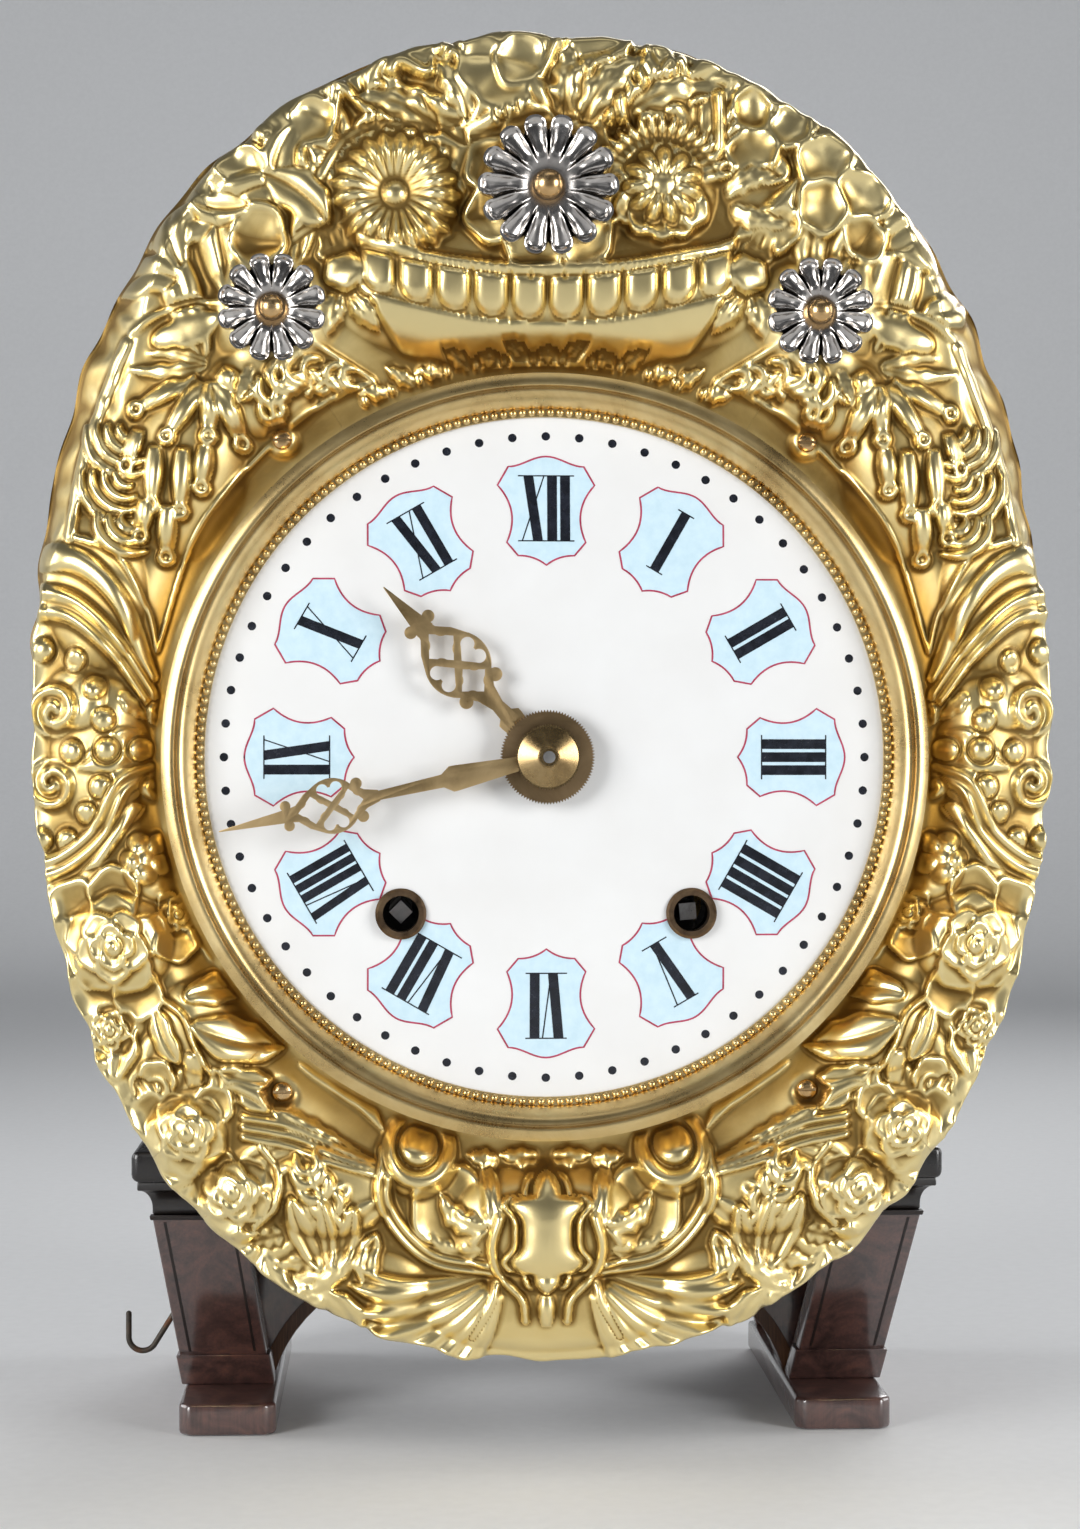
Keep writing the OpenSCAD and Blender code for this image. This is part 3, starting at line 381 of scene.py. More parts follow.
hook_iron = metal("hook_iron_rusting", ((0.05, 0.045, 0.04), (0.09, 0.075, 0.06), (0.16, 0.075, 0.04)),
                  (0.45, 0.8), 110.0, 1500.0, 0.12, 0.75)
dressed(hook_iron, "side_wire_hook")


# Iron cage: forged plates, corner posts and train bars, riveted and blacked, with sheet-iron
# doors and back. It stands on the cap board and carries the trains, bell and dial plate.
FORGED_WEAR = 0.5

blacked_iron = metal("blacked_forged_iron",
                     ((0.035, 0.034, 0.034), (0.075, 0.072, 0.068), (0.13, 0.115, 0.10)),
                     (0.38, 0.68), 45.0, 420.0, 0.16, 0.85)
for node in ("cage_base_plate", "cage_top_plate", "cage_corner_posts", "front_train_bars", "rear_train_bars"):
    refinished(node, node + "_forged", blacked_iron, FORGED_WEAR, 2)
sheet_iron = metal("sheet_iron_oiled", ((0.04, 0.041, 0.043), (0.075, 0.074, 0.073), (0.125, 0.11, 0.095)),
                   (0.34, 0.62), 64.0, 420.0, 0.12, 0.85)
dressed(sheet_iron, "back_panel", "left_door", "right_door", "dial_plate")
dressed(blacked_iron, "plate_posts", "rack_guides", "hammer_cocks", "bell_stand", "bell_nut")


# Trains and strike work: cut brass wheels on steel arbors with steel barrels, and the steel
# anchor, crutch, rack and hammer. They turn in the holes of the train bars.
wheel_brass = metal("cut_wheel_brass", ((0.36, 0.23, 0.07), (0.58, 0.40, 0.14), (0.66, 0.48, 0.19)),
                    (0.2, 0.42), 60.0, 900.0, 0.02)
dressed(wheel_brass, "hour_wheel", "motion_wheel", "going_great_wheel", "going_second_arbor",
        "going_third_arbor", "escape_arbor", "strike_great_wheel", "pin_wheel_arbor", "strike_third_arbor",
        "fly_arbor")
arbor_steel = metal("filed_arbor_steel", ((0.22, 0.21, 0.20), (0.40, 0.39, 0.38), (0.50, 0.49, 0.48)),
                    (0.22, 0.45), 80.0, 1200.0, 0.02)
dressed(arbor_steel, "minute_arbor", "motion_stud", "going_barrel", "strike_barrel", "anchor", "crutch",
        "strike_rack", "hammer")
bell_bronze = metal("cast_bell_bronze", ((0.24, 0.15, 0.06), (0.42, 0.28, 0.12), (0.50, 0.36, 0.17)),
                    (0.28, 0.5), 25.0, 500.0, 0.06)
dressed(bell_bronze, "bell")


# Enamel dial: a domed copper disc fired white, about 2 mm thick, with three soldered feet
# behind it pinned through the iron plate. Two winding holes and the centre hole are cut in it.
DIAL_UP = 244.0
DIAL_R = 118.0
DIAL_CROWN = 8.0
DIAL_THICK = 2.0
WINDING_ACROSS = 49.0
WINDING_DROP = 52.7
WINDING_CUT = 7.3
CENTRE_CUT = 7.0
DRILL_LONG = 120.0
FACING = (math.pi / 2.0, 0.0, 0.0)
DIAL_STEPS = 192
FRONT_ROWS = 60
REAR_ROWS = 20


def dome(r):
    return DIAL_CROWN * ((r / DIAL_R) ** 2 - 1.0)


def meshed(name, points, edges, faces):
    mesh = bpy.data.meshes.new(name)
    mesh.from_pydata(points, edges, [[int(corner) for corner in face] for face in faces])
    return linked(name, mesh)


def spun(piece, steps, across=0.0, up=DIAL_UP, **settings):
    opened(piece)
    bpy.ops.mesh.spin(steps=steps, angle=2.0 * math.pi, center=metres(across, 0.0, up),
                      axis=(0.0, 1.0, 0.0), **settings)
    bpy.ops.object.mode_set(mode="OBJECT")
    return cleaned(piece, merged=True)


def turned(name, profile, across=0.0, up=DIAL_UP, steps=DIAL_STEPS, closed=True):
    count = len(profile)
    edges = [(k, (k + 1) % count) for k in range(count if closed else count - 1)]
    piece = meshed(name, [metres(across + r, back, up) for r, back in profile], edges, [])
    return spun(piece, steps, across, up)


def drilled(piece, across, up, r):
    drill = started("drill", bpy.ops.mesh.primitive_cylinder_add, vertices=96, radius=r * MM,
                    depth=DRILL_LONG * MM, location=metres(across, 0.0, up), rotation=FACING)
    worked(piece, "BOOLEAN", operation="DIFFERENCE", object=drill, solver="EXACT")
    bpy.data.objects.remove(drill)


enamel, tree, shader = finish_for("fired_white_enamel")
where = put(tree, "ShaderNodeTexCoord").outputs["Object"]
ripple = noise(tree, where, 38.0, 3.0)
coloured(tree, ripple, (0.3, (0.80, 0.80, 0.79)), (0.7, (0.835, 0.84, 0.835)))
roughened(tree, noise(tree, where, 900.0, 2.0, 0.6), 0.06, 0.2)
bumped(tree, ripple, 0.08, 0.35)
tuned(shader, {"Coat Weight": 0.3, "Coat Roughness": 0.04})

front = [(r, dome(r)) for r in np.linspace(0.0, DIAL_R, FRONT_ROWS + 1)]
rear = [(r, dome(r) + DIAL_THICK) for r in np.linspace(DIAL_R, 0.0, REAR_ROWS + 1)]
dial = turned("enamel_dial_fired", front + rear, closed=False)
drilled(dial, 0.0, DIAL_UP, CENTRE_CUT)
for side in (-1.0, 1.0):
    drilled(dial, side * WINDING_ACROSS, DIAL_UP - WINDING_DROP, WINDING_CUT)
fitted(dial, enamel, stands_for=["enamel_dial"])


# Painted dial work: twelve pale blue cartouches outlined in crimson, black Roman hours standing
# outward, and sixty minute dots, fired on in thin coats that stand a hair above the enamel.
INNER_CUSP = (64.7, 0.0)
INNER_CORNER = (67.9, 9.5)
SIDE_FOOT = (72.4, 13.3)
SIDE_EAR = (91.8, 16.4)
OUTER_CORNER = (98.1, 12.8)
OUTER_END = 101.6
COAT = 0.07
COAT_SUNK = 0.04
LINE_COAT = 1.6 * COAT
HOUR_COAT = 2.4 * COAT
HOUR_LOW = 72.9
HOUR_HIGH = 95.0
STROKE = 3.3
HAIRLINE = 0.42
WORD_WIDE = 18.0
SERIF_OVER = 0.9
LINE_WIDE = 0.6
LETTER_WIDE = {"I": 4.4, "V": 7.8, "X": 8.4}
HOURS = ("XII", "I", "II", "III", "IIII", "V", "VI", "VII", "VIII", "IX", "X", "XI")
DOT_R = 1.45
DOT_RING = 108.5


def on_dial(turn, out, aside, proud):
    across = out * math.sin(turn) + aside * math.cos(turn)
    up = out * math.cos(turn) - aside * math.sin(turn)
    return metres(across, dome(math.hypot(across, up)) - proud, DIAL_UP + up)


def grid_faces(start, rows, wide, flipped):
    faces = []
    for i in range(rows - 1):
        for a in range(start + i * wide, start + (i + 1) * wide - 1):
            b = a + wide
            faces.append((a, b, b + 1, a + 1) if flipped else (a, a + 1, b + 1, b))
    return faces


def coat_of_paint(name, patches, material):
    points, faces = [], []
    for rows in patches:
        start, wide = len(points), len(rows[0])
        count = len(rows) * wide
        for proud in (0, 1):
            points += [p[proud] for row in rows for p in row]
        faces += grid_faces(start, len(rows), wide, False) + grid_faces(start + count, len(rows), wide, True)
        grid = start + np.arange(count).reshape(-1, wide)
        border = [*grid[0], *grid[1:, -1], *grid[-1, -2::-1], *grid[-2:0:-1, 0]]
        for a, b in zip(border, border[1:] + border[:1]):
            faces.append((a, a + count, b + count, b))
    return fitted(cleaned(meshed(name, points, [], faces), merged=True), material)


def brushed(turn, spine, proud):
    return [[(on_dial(turn, out, aside, proud), on_dial(turn, out, aside, -COAT_SUNK)) for out, aside in row]
            for row in spine]


def bar(low, high, aside_low, aside_high, wide, steps=8):
    rows = []
    for k in range(steps + 1):
        out = low + (high - low) * k / steps
        aside = aside_low + (aside_high - aside_low) * k / steps
        rows.append([(out, aside + wide * f) for f in (-0.5, 0.0, 0.5)])
    return rows


def scallop(begin, end, sag, steps):
    run = Vector((end[0] - begin[0], end[1] - begin[1]))
    inward = Vector((run.y, -run.x)).normalized()
    points = []
    for k in range(steps):
        f = k / steps
        bite = inward * sag * 4.0 * f * (1.0 - f)
        points.append((begin[0] + run.x * f + bite.x, begin[1] + run.y * f + bite.y))
    return points


def cartouche_half():
    points = scallop(INNER_CUSP, INNER_CORNER, 0.9, 8) + scallop(INNER_CORNER, SIDE_FOOT, 0.0, 2)
    points += scallop(SIDE_FOOT, SIDE_EAR, 3.2, 14) + scallop(SIDE_EAR, OUTER_CORNER, 0.0, 2)
    for k in range(11):
        swell = (1.0 - math.cos(math.pi * k / 10.0)) / 2.0
        out = OUTER_CORNER[0] + (OUTER_END - OUTER_CORNER[0]) * swell
        points.append((out, OUTER_CORNER[1] * (1.0 - k / 10.0)))
    return points


def cartouche_rows(steps=10):
    return [[(out, half * (2.0 * k / steps - 1.0)) for k in range(steps + 1)]
            for out, half in cartouche_half()]


def outline_rows(side, wide):
    rows = []
    points = cartouche_half()
    for k in range(len(points)):
        out, half = points[k]
        before = points[max(k - 1, 0)]
        after = points[min(k + 1, len(points) - 1)]
        run = Vector((after[0] - before[0], after[1] - before[1])).normalized()
        if half < 0.01:
            run = Vector((0.0, 1.0 if k == 0 else -1.0))
        rows.append([(out - run.y * wide * f, side * max(0.0, half + run.x * wide * f)) for f in (-0.5, 0.5)])
    return rows


def hour_strokes(word):
    total = sum(LETTER_WIDE[letter] for letter in word)
    fit = min(1.0, WORD_WIDE / total)
    place = -total * fit / 2.0
    strokes = []
    for letter in word:
        wide = LETTER_WIDE[letter] * fit
        left, middle, right = place + STROKE * fit / 2.0 + 0.2, place + wide / 2.0, place + wide - 0.5
        if letter == "I":
            strokes.append(bar(HOUR_LOW, HOUR_HIGH, middle, middle, STROKE * fit))
        elif letter == "V":
            strokes.append(bar(HOUR_LOW, HOUR_HIGH, middle, left, STROKE * fit))
            strokes.append(bar(HOUR_LOW, HOUR_HIGH, middle + 0.6, right, HAIRLINE))
        else:
            strokes.append(bar(HOUR_LOW, HOUR_HIGH, middle + 1.6 * fit, middle - 1.6 * fit, STROKE * fit))
            strokes.append(bar(HOUR_LOW, HOUR_HIGH, place + 0.5, right, HAIRLINE))
        place += wide
    reach = total * fit / 2.0 + SERIF_OVER
    for out in (HOUR_LOW, HOUR_HIGH):
        strokes.append([[(out + HAIRLINE * f, reach * (k / 5.0 - 1.0)) for f in (-0.5, 0.5)]
                        for k in range(11)])
    return strokes


def paint(name, colours, rough):
    material, tree, shader = finish_for(name)
    brush = noise(tree, put(tree, "ShaderNodeTexCoord").outputs["Object"], 260.0, 4.0, 0.6)
    coloured(tree, brush, *zip((0.34, 0.66), colours))
    roughened(tree, brush, *rough)
    return material


pale_blue = paint("cartouche_pale_blue", ((0.57, 0.76, 0.86), (0.64, 0.82, 0.91)), (0.1, 0.3))
crimson = paint("cartouche_crimson", ((0.36, 0.030, 0.075), (0.50, 0.065, 0.13)), (0.2, 0.4))
ink = paint("numeral_black", ((0.005, 0.006, 0.010), (0.015, 0.018, 0.028)), (0.12, 0.35))
turns = [math.radians(30.0 * hour) for hour in range(12)]
fills = [brushed(turn, cartouche_rows(), COAT) for turn in turns]
edges = [brushed(turn, outline_rows(side, LINE_WIDE), LINE_COAT) for turn in turns for side in (-1.0, 1.0)]
for coat in (coat_of_paint("hour_cartouches", fills, pale_blue),
             coat_of_paint("cartouche_outlines", edges, crimson)):
    for side in (-1.0, 1.0):
        drilled(coat, side * WINDING_ACROSS, DIAL_UP - WINDING_DROP, WINDING_CUT)
coat_of_paint("hour_numerals", [brushed(turn, stroke, HOUR_COAT) for turn, word in zip(turns, HOURS)
                                for stroke in hour_strokes(word)], ink)
dots = []
for minute in range(60):
    turn = math.radians(6.0 * minute)
    half_moons = [[(DOT_RING + DOT_R * math.cos(math.pi * k / 12.0), f * DOT_R * math.sin(math.pi * k / 12.0))
                   for f in (-1.0, 0.0, 1.0)] for k in range(13)]
    dots.append(brushed(turn, half_moons, COAT))
coat_of_paint("minute_dots", dots, ink)


# Winding grommets: turned bronze eyelets let into the dial's two holes, brown with age.
# The steel squares of the barrels stand inside them.
eyelet_bronze = metal("eyelet_bronze_brown", ((0.10, 0.065, 0.04), (0.19, 0.125, 0.075), (0.27, 0.18, 0.10)),
                      (0.26, 0.46), 140.0, 1500.0, 0.02)
dressed(eyelet_bronze, "winding_grommets")


# Bezel: one spun brass ring, dull from handling. A row of beads edges the enamel, then a round
# band, a groove and a band that falls outward, and its back rests on the pressed sheets.
VIEW_R = 115.0
BEZEL_R = 129.0
BEZEL_BACK = 4.0
BAND_FROM = 118.1
GROOVE_FROM = 123.7
GROOVE_TO = 124.7
CREST_BACK = -11.4
BAND_STEPS = 16
BEADS = 230
BEAD_R = 1.32
BEAD_RING = 116.5

bezel_brass = metal("spun_bezel_brass", ((0.47, 0.32, 0.13), (0.71, 0.52, 0.23), (0.84, 0.66, 0.33)),
                    (0.24, 0.36), 26.0, 300.0, 0.002)
lip_back = dome(VIEW_R) - 0.15
profile = [(VIEW_R, lip_back), (VIEW_R, lip_back - 0.9), (VIEW_R + 0.1, lip_back - 1.05)]
profile += [(BAND_FROM - 0.3, lip_back - 1.05)]
for f in np.linspace(0.0, 1.0, BAND_STEPS + 1):
    band_back = lip_back - 2.3 - 5.6 * math.sin(math.pi / 2.0 * f)
    profile.append((BAND_FROM + (GROOVE_FROM - BAND_FROM) * f, band_back))
profile += [(GROOVE_FROM + 0.25, lip_back - 7.4), (GROOVE_TO - 0.35, lip_back - 7.4)]
profile += [(GROOVE_TO - 0.1, CREST_BACK + 1.2)]
for f in np.linspace(0.0, 1.0, BAND_STEPS + 1):
    fall_back = CREST_BACK + 0.35 * (1.0 - f) ** 6 + 1.8 * f ** 1.6
    profile.append((GROOVE_TO + (BEZEL_R - GROOVE_TO) * f, fall_back))
profile += [(BEZEL_R, BEZEL_BACK), (DIAL_R + 0.5, BEZEL_BACK), (DIAL_R + 0.5, lip_back)]
bezel = turned("spun_bezel_ring", profile, steps=256)
fitted(bezel, bezel_brass, stands_for=["bezel"], corner=50)

beading = started("bezel_beading", bpy.ops.mesh.primitive_uv_sphere_add, segments=8, ring_count=6,
                  radius=BEAD_R * MM, location=metres(BEAD_RING, lip_back - 1.35, DIAL_UP))
bpy.ops.object.transform_apply(location=True, rotation=True, scale=True)
fitted(spun(beading, BEADS, dupli=True), bezel_brass, corner=80)


# Pressed surround: four sheets of bright brass struck from the back over dies, then chased. Rosettes,
# roses, leaves, scrolls and gadroons stand on a bowl that turns back at the rim on to the iron plate.
# The relief is worked out in millimetres from the dial's centre: x to the right, z up.
BORDER_R = 131.5
SURROUND_W = 354.0
SURROUND_H = 462.0
SURROUND_LIFT = 21.0
CORNER_SWELL = 0.03
RIM_STEPS = 1440
RIM_FACE = 25.1
LARGE_AT = (0.0, 190.0)
LARGE_SEAT = -18.0
SMALL_OUT = 92.0
SMALL_UP = 150.0
SMALL_SEAT = -9.0
SCREW_OUT = 89.0
SCREW_UPS = (107.0, -113.0)
SCREW_SEAT = 1.0
STRAY = 43758.5453


def unit(v):
    return np.clip(v, 0.0, 1.0)


def ease(v):
    v = unit(v)
    return v * v * (3.0 - 2.0 * v)


def polar(cx, cz, r, a):
    return cx + r * math.cos(a), cz + r * math.sin(a)


# A field is x and z of every point of the sheet, the ground under the chasing, and the height so far
def near(field, cx, cz, reach):
    dx, dz = field[0] - cx, field[1] - cz
    spot = np.nonzero((np.abs(dx) < reach) & (np.abs(dz) < reach))[0]
    return spot, dx[spot], dz[spot]


def lengthwise(field, x0, z0, x1, z1, width):
    length = math.hypot(x1 - x0, z1 - z0)
    ax, az = (x1 - x0) / length, (z1 - z0) / length
    spot = near(field, (x0 + x1) / 2.0, (z0 + z1) / 2.0, length * 0.62 + width)[0]
    dx, dz = field[0][spot] - x0, field[1][spot] - z0
    return spot, length, (dx * ax + dz * az) / length, -dx * az + dz * ax


def lay(field, spot, cover, form):
    ground, height = field[2:]
    height[spot] += cover * (ground[spot] + form - height[spot])


def bead(field, cx, cz, r=4.5, rise=3.2):
    spot, dx, dz = near(field, cx, cz, r * 1.25)
    d = np.hypot(dx, dz) / r
    ball = unit(1.0 - (d / 0.9) ** 2) ** 0.5
    dish = -0.8 * unit(1.0 - ((d - 0.98) / 0.16) ** 2)
    lay(field, spot, ease((1.22 - d) / 0.16), 0.5 + rise * ball + dish)


def fluted_flower(field, cx, cz, r, flutes, rise, boss_r, swirl=0.0, cup=0.6):
    spot, dx, dz = near(field, cx, cz, r * 1.1)
    turn = np.arctan2(dz, dx)
    d = np.hypot(dx, dz) / (r * (0.96 + 0.04 * np.cos(flutes * turn)))
    wave = np.cos(flutes * turn + swirl * d)
    body = rise * (cup + (1.0 - cup) * ease((d - 0.15) / 0.6)) * unit(1.0 - d ** 3.2) ** 0.7
    body += 0.17 * rise * wave * ease((d - 0.2) / 0.3) * unit(1.0 - d ** 8)
    boss = unit(1.0 - (d * r / boss_r) ** 2) ** 0.5
    body = np.where(d * r < boss_r, rise * cup * 0.55 + boss_r * 0.75 * boss, body)
    lay(field, spot, ease((1.02 - d) / 0.06), body)


def petal_flower(field, cx, cz, r, petals, rise, boss_r, phase=0.0):
    spot, dx, dz = near(field, cx, cz, r * 1.15)
    turn = np.arctan2(dz, dx) + phase
    lobe = np.abs(np.cos(petals * turn / 2.0))
    d = np.hypot(dx, dz) / (r * (0.74 + 0.26 * lobe ** 0.7))
    swell = unit(1.0 - ((d - 0.62) / 0.4) ** 2) ** 0.6
    body = rise * (0.35 + 0.65 * swell) * (0.45 + 0.55 * lobe ** 0.6) * unit(1.0 - d ** 5) ** 0.6
    boss = unit(1.0 - (np.hypot(dx, dz) / boss_r) ** 2) ** 0.5
    body = np.maximum(body, boss * boss_r * 0.85 + rise * 0.25 * (boss > 0.0))
    lay(field, spot, ease((1.03 - d) / 0.08), body)


def cupped_petal(field, cx, cz, r, angle, rise, cup, stretch=1.0):
    spot, dx, dz = near(field, cx, cz, r * 1.2 * max(1.0, stretch))
    along = dx * math.cos(angle) + dz * math.sin(angle)
    side = -dx * math.sin(angle) + dz * math.cos(angle)
    wavy = 1.0 + 0.05 * np.cos(5.0 * np.arctan2(side, along) + cx)
    d = np.hypot(along / stretch, side) / (r * wavy)
    lip = np.exp(-((d - 0.86) / 0.13) ** 2)
    form = rise - cup * unit(1.0 - d * d) + 0.25 * cup * lip
    form -= 0.3 * cup * unit(-along / r)
    lay(field, spot, ease((1.0 - d) / 0.1), form * unit((1.04 - d) / 0.12) ** 0.5)


def folded_leaf(field, cx, cz, long, wide, angle, rise, lean):
    spot, dx, dz = near(field, cx, cz, 0.55 * long + 0.3 * wide)
    u = (dx * math.cos(angle) + dz * math.sin(angle)) / (long / 2.0)
    side = -dx * math.sin(angle) + dz * math.cos(angle) - lean * 0.16 * wide * (1.0 - u * u)
    half = wide / 2.0 * unit(1.0 - np.abs(u) ** 2.3) ** 0.7 * (1.0 + 0.08 * np.sin(7.0 * u + cx))
    q = side / (half + 1e-6)
    lobes = unit(1.0 - (2.0 * np.abs(q) - 1.0) ** 2) ** 0.6
    form = rise * (0.5 + 0.5 * lobes * (1.0 + 0.3 * lean * np.sign(q))) * (0.85 + 0.2 * u)
    lay(field, spot, ease((1.04 - np.abs(q)) / 0.14) * (np.abs(u) < 1.0), form)


def blade(field, x0, z0, x1, z1, wide, rise, lean):
    long = math.hypot(x1 - x0, z1 - z0)
    folded_leaf(field, (x0 + x1) / 2.0, (z0 + z1) / 2.0, long, wide, math.atan2(z1 - z0, x1 - x0), rise, lean)


def rose(field, cx, cz, r, rise, phase=0.0):
    rings = ((0.66, 0.52, 5, 0.45), (0.42, 0.42, 5, 0.68), (0.23, 0.3, 4, 0.87))
    for step, (reach, size, count, level) in enumerate(rings):
        for k in range(count):
            a = phase + 0.7 * step + k * 2.0 * math.pi / count
            cupped_petal(field, *polar(cx, cz, r * reach, a), r * size, a, rise * level, rise * 0.34)
    volute(field, cx, cz, r * 0.27, 1.6, 1, rise * 0.9, 0.9)


def leaf(field, x0, z0, x1, z1, width, rise, veins=5, curl=0.0, wave=0.1):
    spot, length, u, v = lengthwise(field, x0, z0, x1, z1, width)
    v = v - curl * 4.0 * u * (1.0 - u) * length
    inside = unit(u)
    half = width / 2.0 * np.sin(math.pi * inside ** 0.75) ** 0.85
    half = half * (1.0 + wave * np.sin(2.0 * math.pi * veins * inside)) + 1e-6
    q = np.abs(v) / half
    crown = unit(1.0 - q * q) ** 0.8
    form = rise * (0.12 + 0.88 * crown) * (0.5 + 0.5 * np.sin(math.pi * inside))
    veined = np.cos(2.0 * math.pi * veins * (inside - 0.16 * np.minimum(q, 1.0)))
    form += 0.2 * rise * veined * np.sqrt(crown) * q
    form -= 0.45 * rise * np.exp(-(v / (0.1 * width)) ** 2) * (1.0 - inside)
    cover = ease((1.02 - q) / 0.2) * (u > 0.0) * (u < 1.0)
    lay(field, spot, cover, form)


def ivy(field, cx, cz, size, angle, rise=2.6):
    spot, dx, dz = near(field, cx, cz, size * 1.35)
    turn = np.arctan2(dz, dx) - angle
    edge = size * (0.8 + 0.16 * np.cos(3.0 * turn) + 0.12 * np.cos(turn) - 0.05 * np.cos(5.0 * turn))
    d = np.hypot(dx, dz) / edge
    side = np.abs(np.sin(turn)) * d
    form = rise * (0.62 + 0.3 * np.exp(-((d - 0.86) / 0.12) ** 2) - 0.2 * d * d)
    form -= 0.35 * rise * np.exp(-(side / 0.07) ** 2) * (np.cos(turn) > -0.3) * ease((0.75 - d) / 0.3)
    lay(field, spot, ease((1.03 - d) / 0.1), form)


def smooth_path(points, count):
    points = np.array(points, float)
    ends = np.vstack([2 * points[0] - points[1], points, 2 * points[-1] - points[-2]])
    at = np.linspace(0.0, len(points) - 1, count + 1)
    s = np.minimum(at.astype(int), len(points) - 2)
    f = (at - s)[:, None]
    a, b, c, d = (ends[s + k] for k in range(4))
    bend = (2 * a - 5 * b + 4 * c - d) * f * f + (3 * b - a - 3 * c + d) * f ** 3
    return 0.5 * (2 * b + (c - a) * f + bend)


def ribbon(field, points, wide0, wide1, rise, bands=1, level=0.0, taper=0.0):
    x, z = field[:2]
    path = smooth_path(points, 12 * (len(points) - 1))
    reach = max(wide0, wide1) / 2.0 + 1.0
    lo, hi = path.min(0) - reach, path.max(0) + reach
    spot = np.nonzero((x > lo[0]) & (x < hi[0]) & (z > lo[1]) & (z < hi[1]))[0]
    if len(spot) == 0:
        return
    best = np.full(len(spot), 1e9)
    side = np.zeros(len(spot))
    place = np.zeros(len(spot))
    for k in range(len(path) - 1):
        a, b = path[k], path[k + 1]
        run = b - a
        length = math.hypot(run[0], run[1]) + 1e-9
        dx, dz = x[spot] - a[0], z[spot] - a[1]
        f = unit((dx * run[0] + dz * run[1]) / length ** 2)
        far = np.hypot(dx - f * run[0], dz - f * run[1])
        closer = far < best
        best = np.where(closer, far, best)
        side = np.where(closer, np.sign(run[0] * dz - run[1] * dx) * far, side)
        place = np.where(closer, (k + f) / (len(path) - 1), place)
    half = (wide0 + (wide1 - wide0) * place) / 2.0
    if taper > 0.0:
        half = half * (1.0 - taper + taper * np.sin(math.pi * place) ** 0.7) + 1e-6
    q = side / half
    crown = unit(1.0 - np.abs(q) ** (2.2 if bands == 1 else 5.0)) ** 0.6
    form = level + rise * crown
    if bands > 1:
        form = level + rise * crown * (0.72 + 0.28 * np.cos(math.pi * bands * q + math.pi * (bands + 1)))
    lay(field, spot, ease((1.05 - np.abs(q)) / 0.16), form)


def volute(field, cx, cz, r, turns, hand, rise, groove=1.1, start=0.0):
    spot, dx, dz = near(field, cx, cz, r * 1.1)
    d = np.hypot(dx, dz) / r
    phase = d * turns - hand * (np.arctan2(dz, dx) + start) / (2.0 * math.pi)
    form = rise * (1.0 - 0.35 * d) + groove * np.cos(2.0 * math.pi * phase) * ease(d / 0.18)
    form = form * unit((1.04 - d) / 0.14) ** 0.5
    lay(field, spot, ease((1.03 - d) / 0.08), form)


def bud(field, x0, z0, x1, z1, width, rise, ring=True):
    spot, length, u, v = lengthwise(field, x0, z0, x1, z1, width)
    inside = unit(u)
    half = width / 2.0 * (0.55 + 0.45 * np.sin(math.pi * unit(inside * 0.9 + 0.12)))
    q = np.abs(v) / half
    facet = unit(1.0 - q * q) ** 0.5
    form = rise * (0.35 + 0.65 * facet) * (0.6 + 0.4 * np.sin(math.pi * inside))
    cover = ease((1.05 - q) / 0.16) * ease((u + 0.03) / 0.05) * ease((1.03 - u) / 0.06)
    lay(field, spot, cover, form)
    if ring:
        d = np.hypot(field[0][spot] - x1, field[1][spot] - z1) / (width * 0.46)
        torus = unit(1.0 - ((d - 0.66) / 0.34) ** 2) ** 0.5
        pip = 0.55 * unit(1.0 - (d / 0.3) ** 2) ** 0.5
        lay(field, spot, ease((1.04 - d) / 0.12), rise * 0.35 + rise * 0.5 * np.maximum(torus, pip))


def fan(field, cx, cz, r0, r1, a0, a1, flutes, rise, curl=0.0):
    spot, dx, dz = near(field, cx, cz, r1 * 1.1)
    far = np.hypot(dx, dz)
    turn = (np.arctan2(dz, dx) - (a0 + a1) / 2.0 + math.pi) % (2.0 * math.pi) - math.pi
    share = (turn + curl * (far / r1) ** 2) / (a1 - a0) + 0.5
    wave = np.cos(2.0 * math.pi * flutes * share)
    d = (far - r0) / (r1 * (0.94 + 0.06 * wave) - r0)
    form = rise * (0.35 + 0.65 * ease(d / 0.8)) + 0.28 * rise * wave * (0.35 + 0.65 * unit(d))
    form = form * unit((1.03 - d) / 0.2) ** 0.45
    cover = ease(d / 0.08) * ease((1.02 - d) / 0.07) * ease(share / 0.05) * ease((1.0 - share) / 0.05)
    lay(field, spot, cover, form)


def comma_leaves(field, points, count, long, width, rise):
    path = smooth_path(points, 40)
    for k in range(count):
        at = int((k + 0.5) / count * 38)
        run = path[at + 2] - path[at]
        heading = math.atan2(run[1], run[0])
        grow = 0.65 + 0.5 * math.sin(math.pi * (k + 0.8) / (count + 0.6))
        for hand in (-1, 1):
            a = heading + hand * 0.9
            x0, z0 = path[at]
            middle = polar(x0, z0, grow * long * 0.55, a)
            bend = [path[at], middle, polar(x0, z0, grow * long, a - hand * 0.45)]
            ribbon(field, bend, width * grow, width * grow * 0.9, rise, 1, 0.5, 0.55)
    ribbon(field, points, width * 0.7, width * 0.4, rise * 0.9, 1, 0.6)


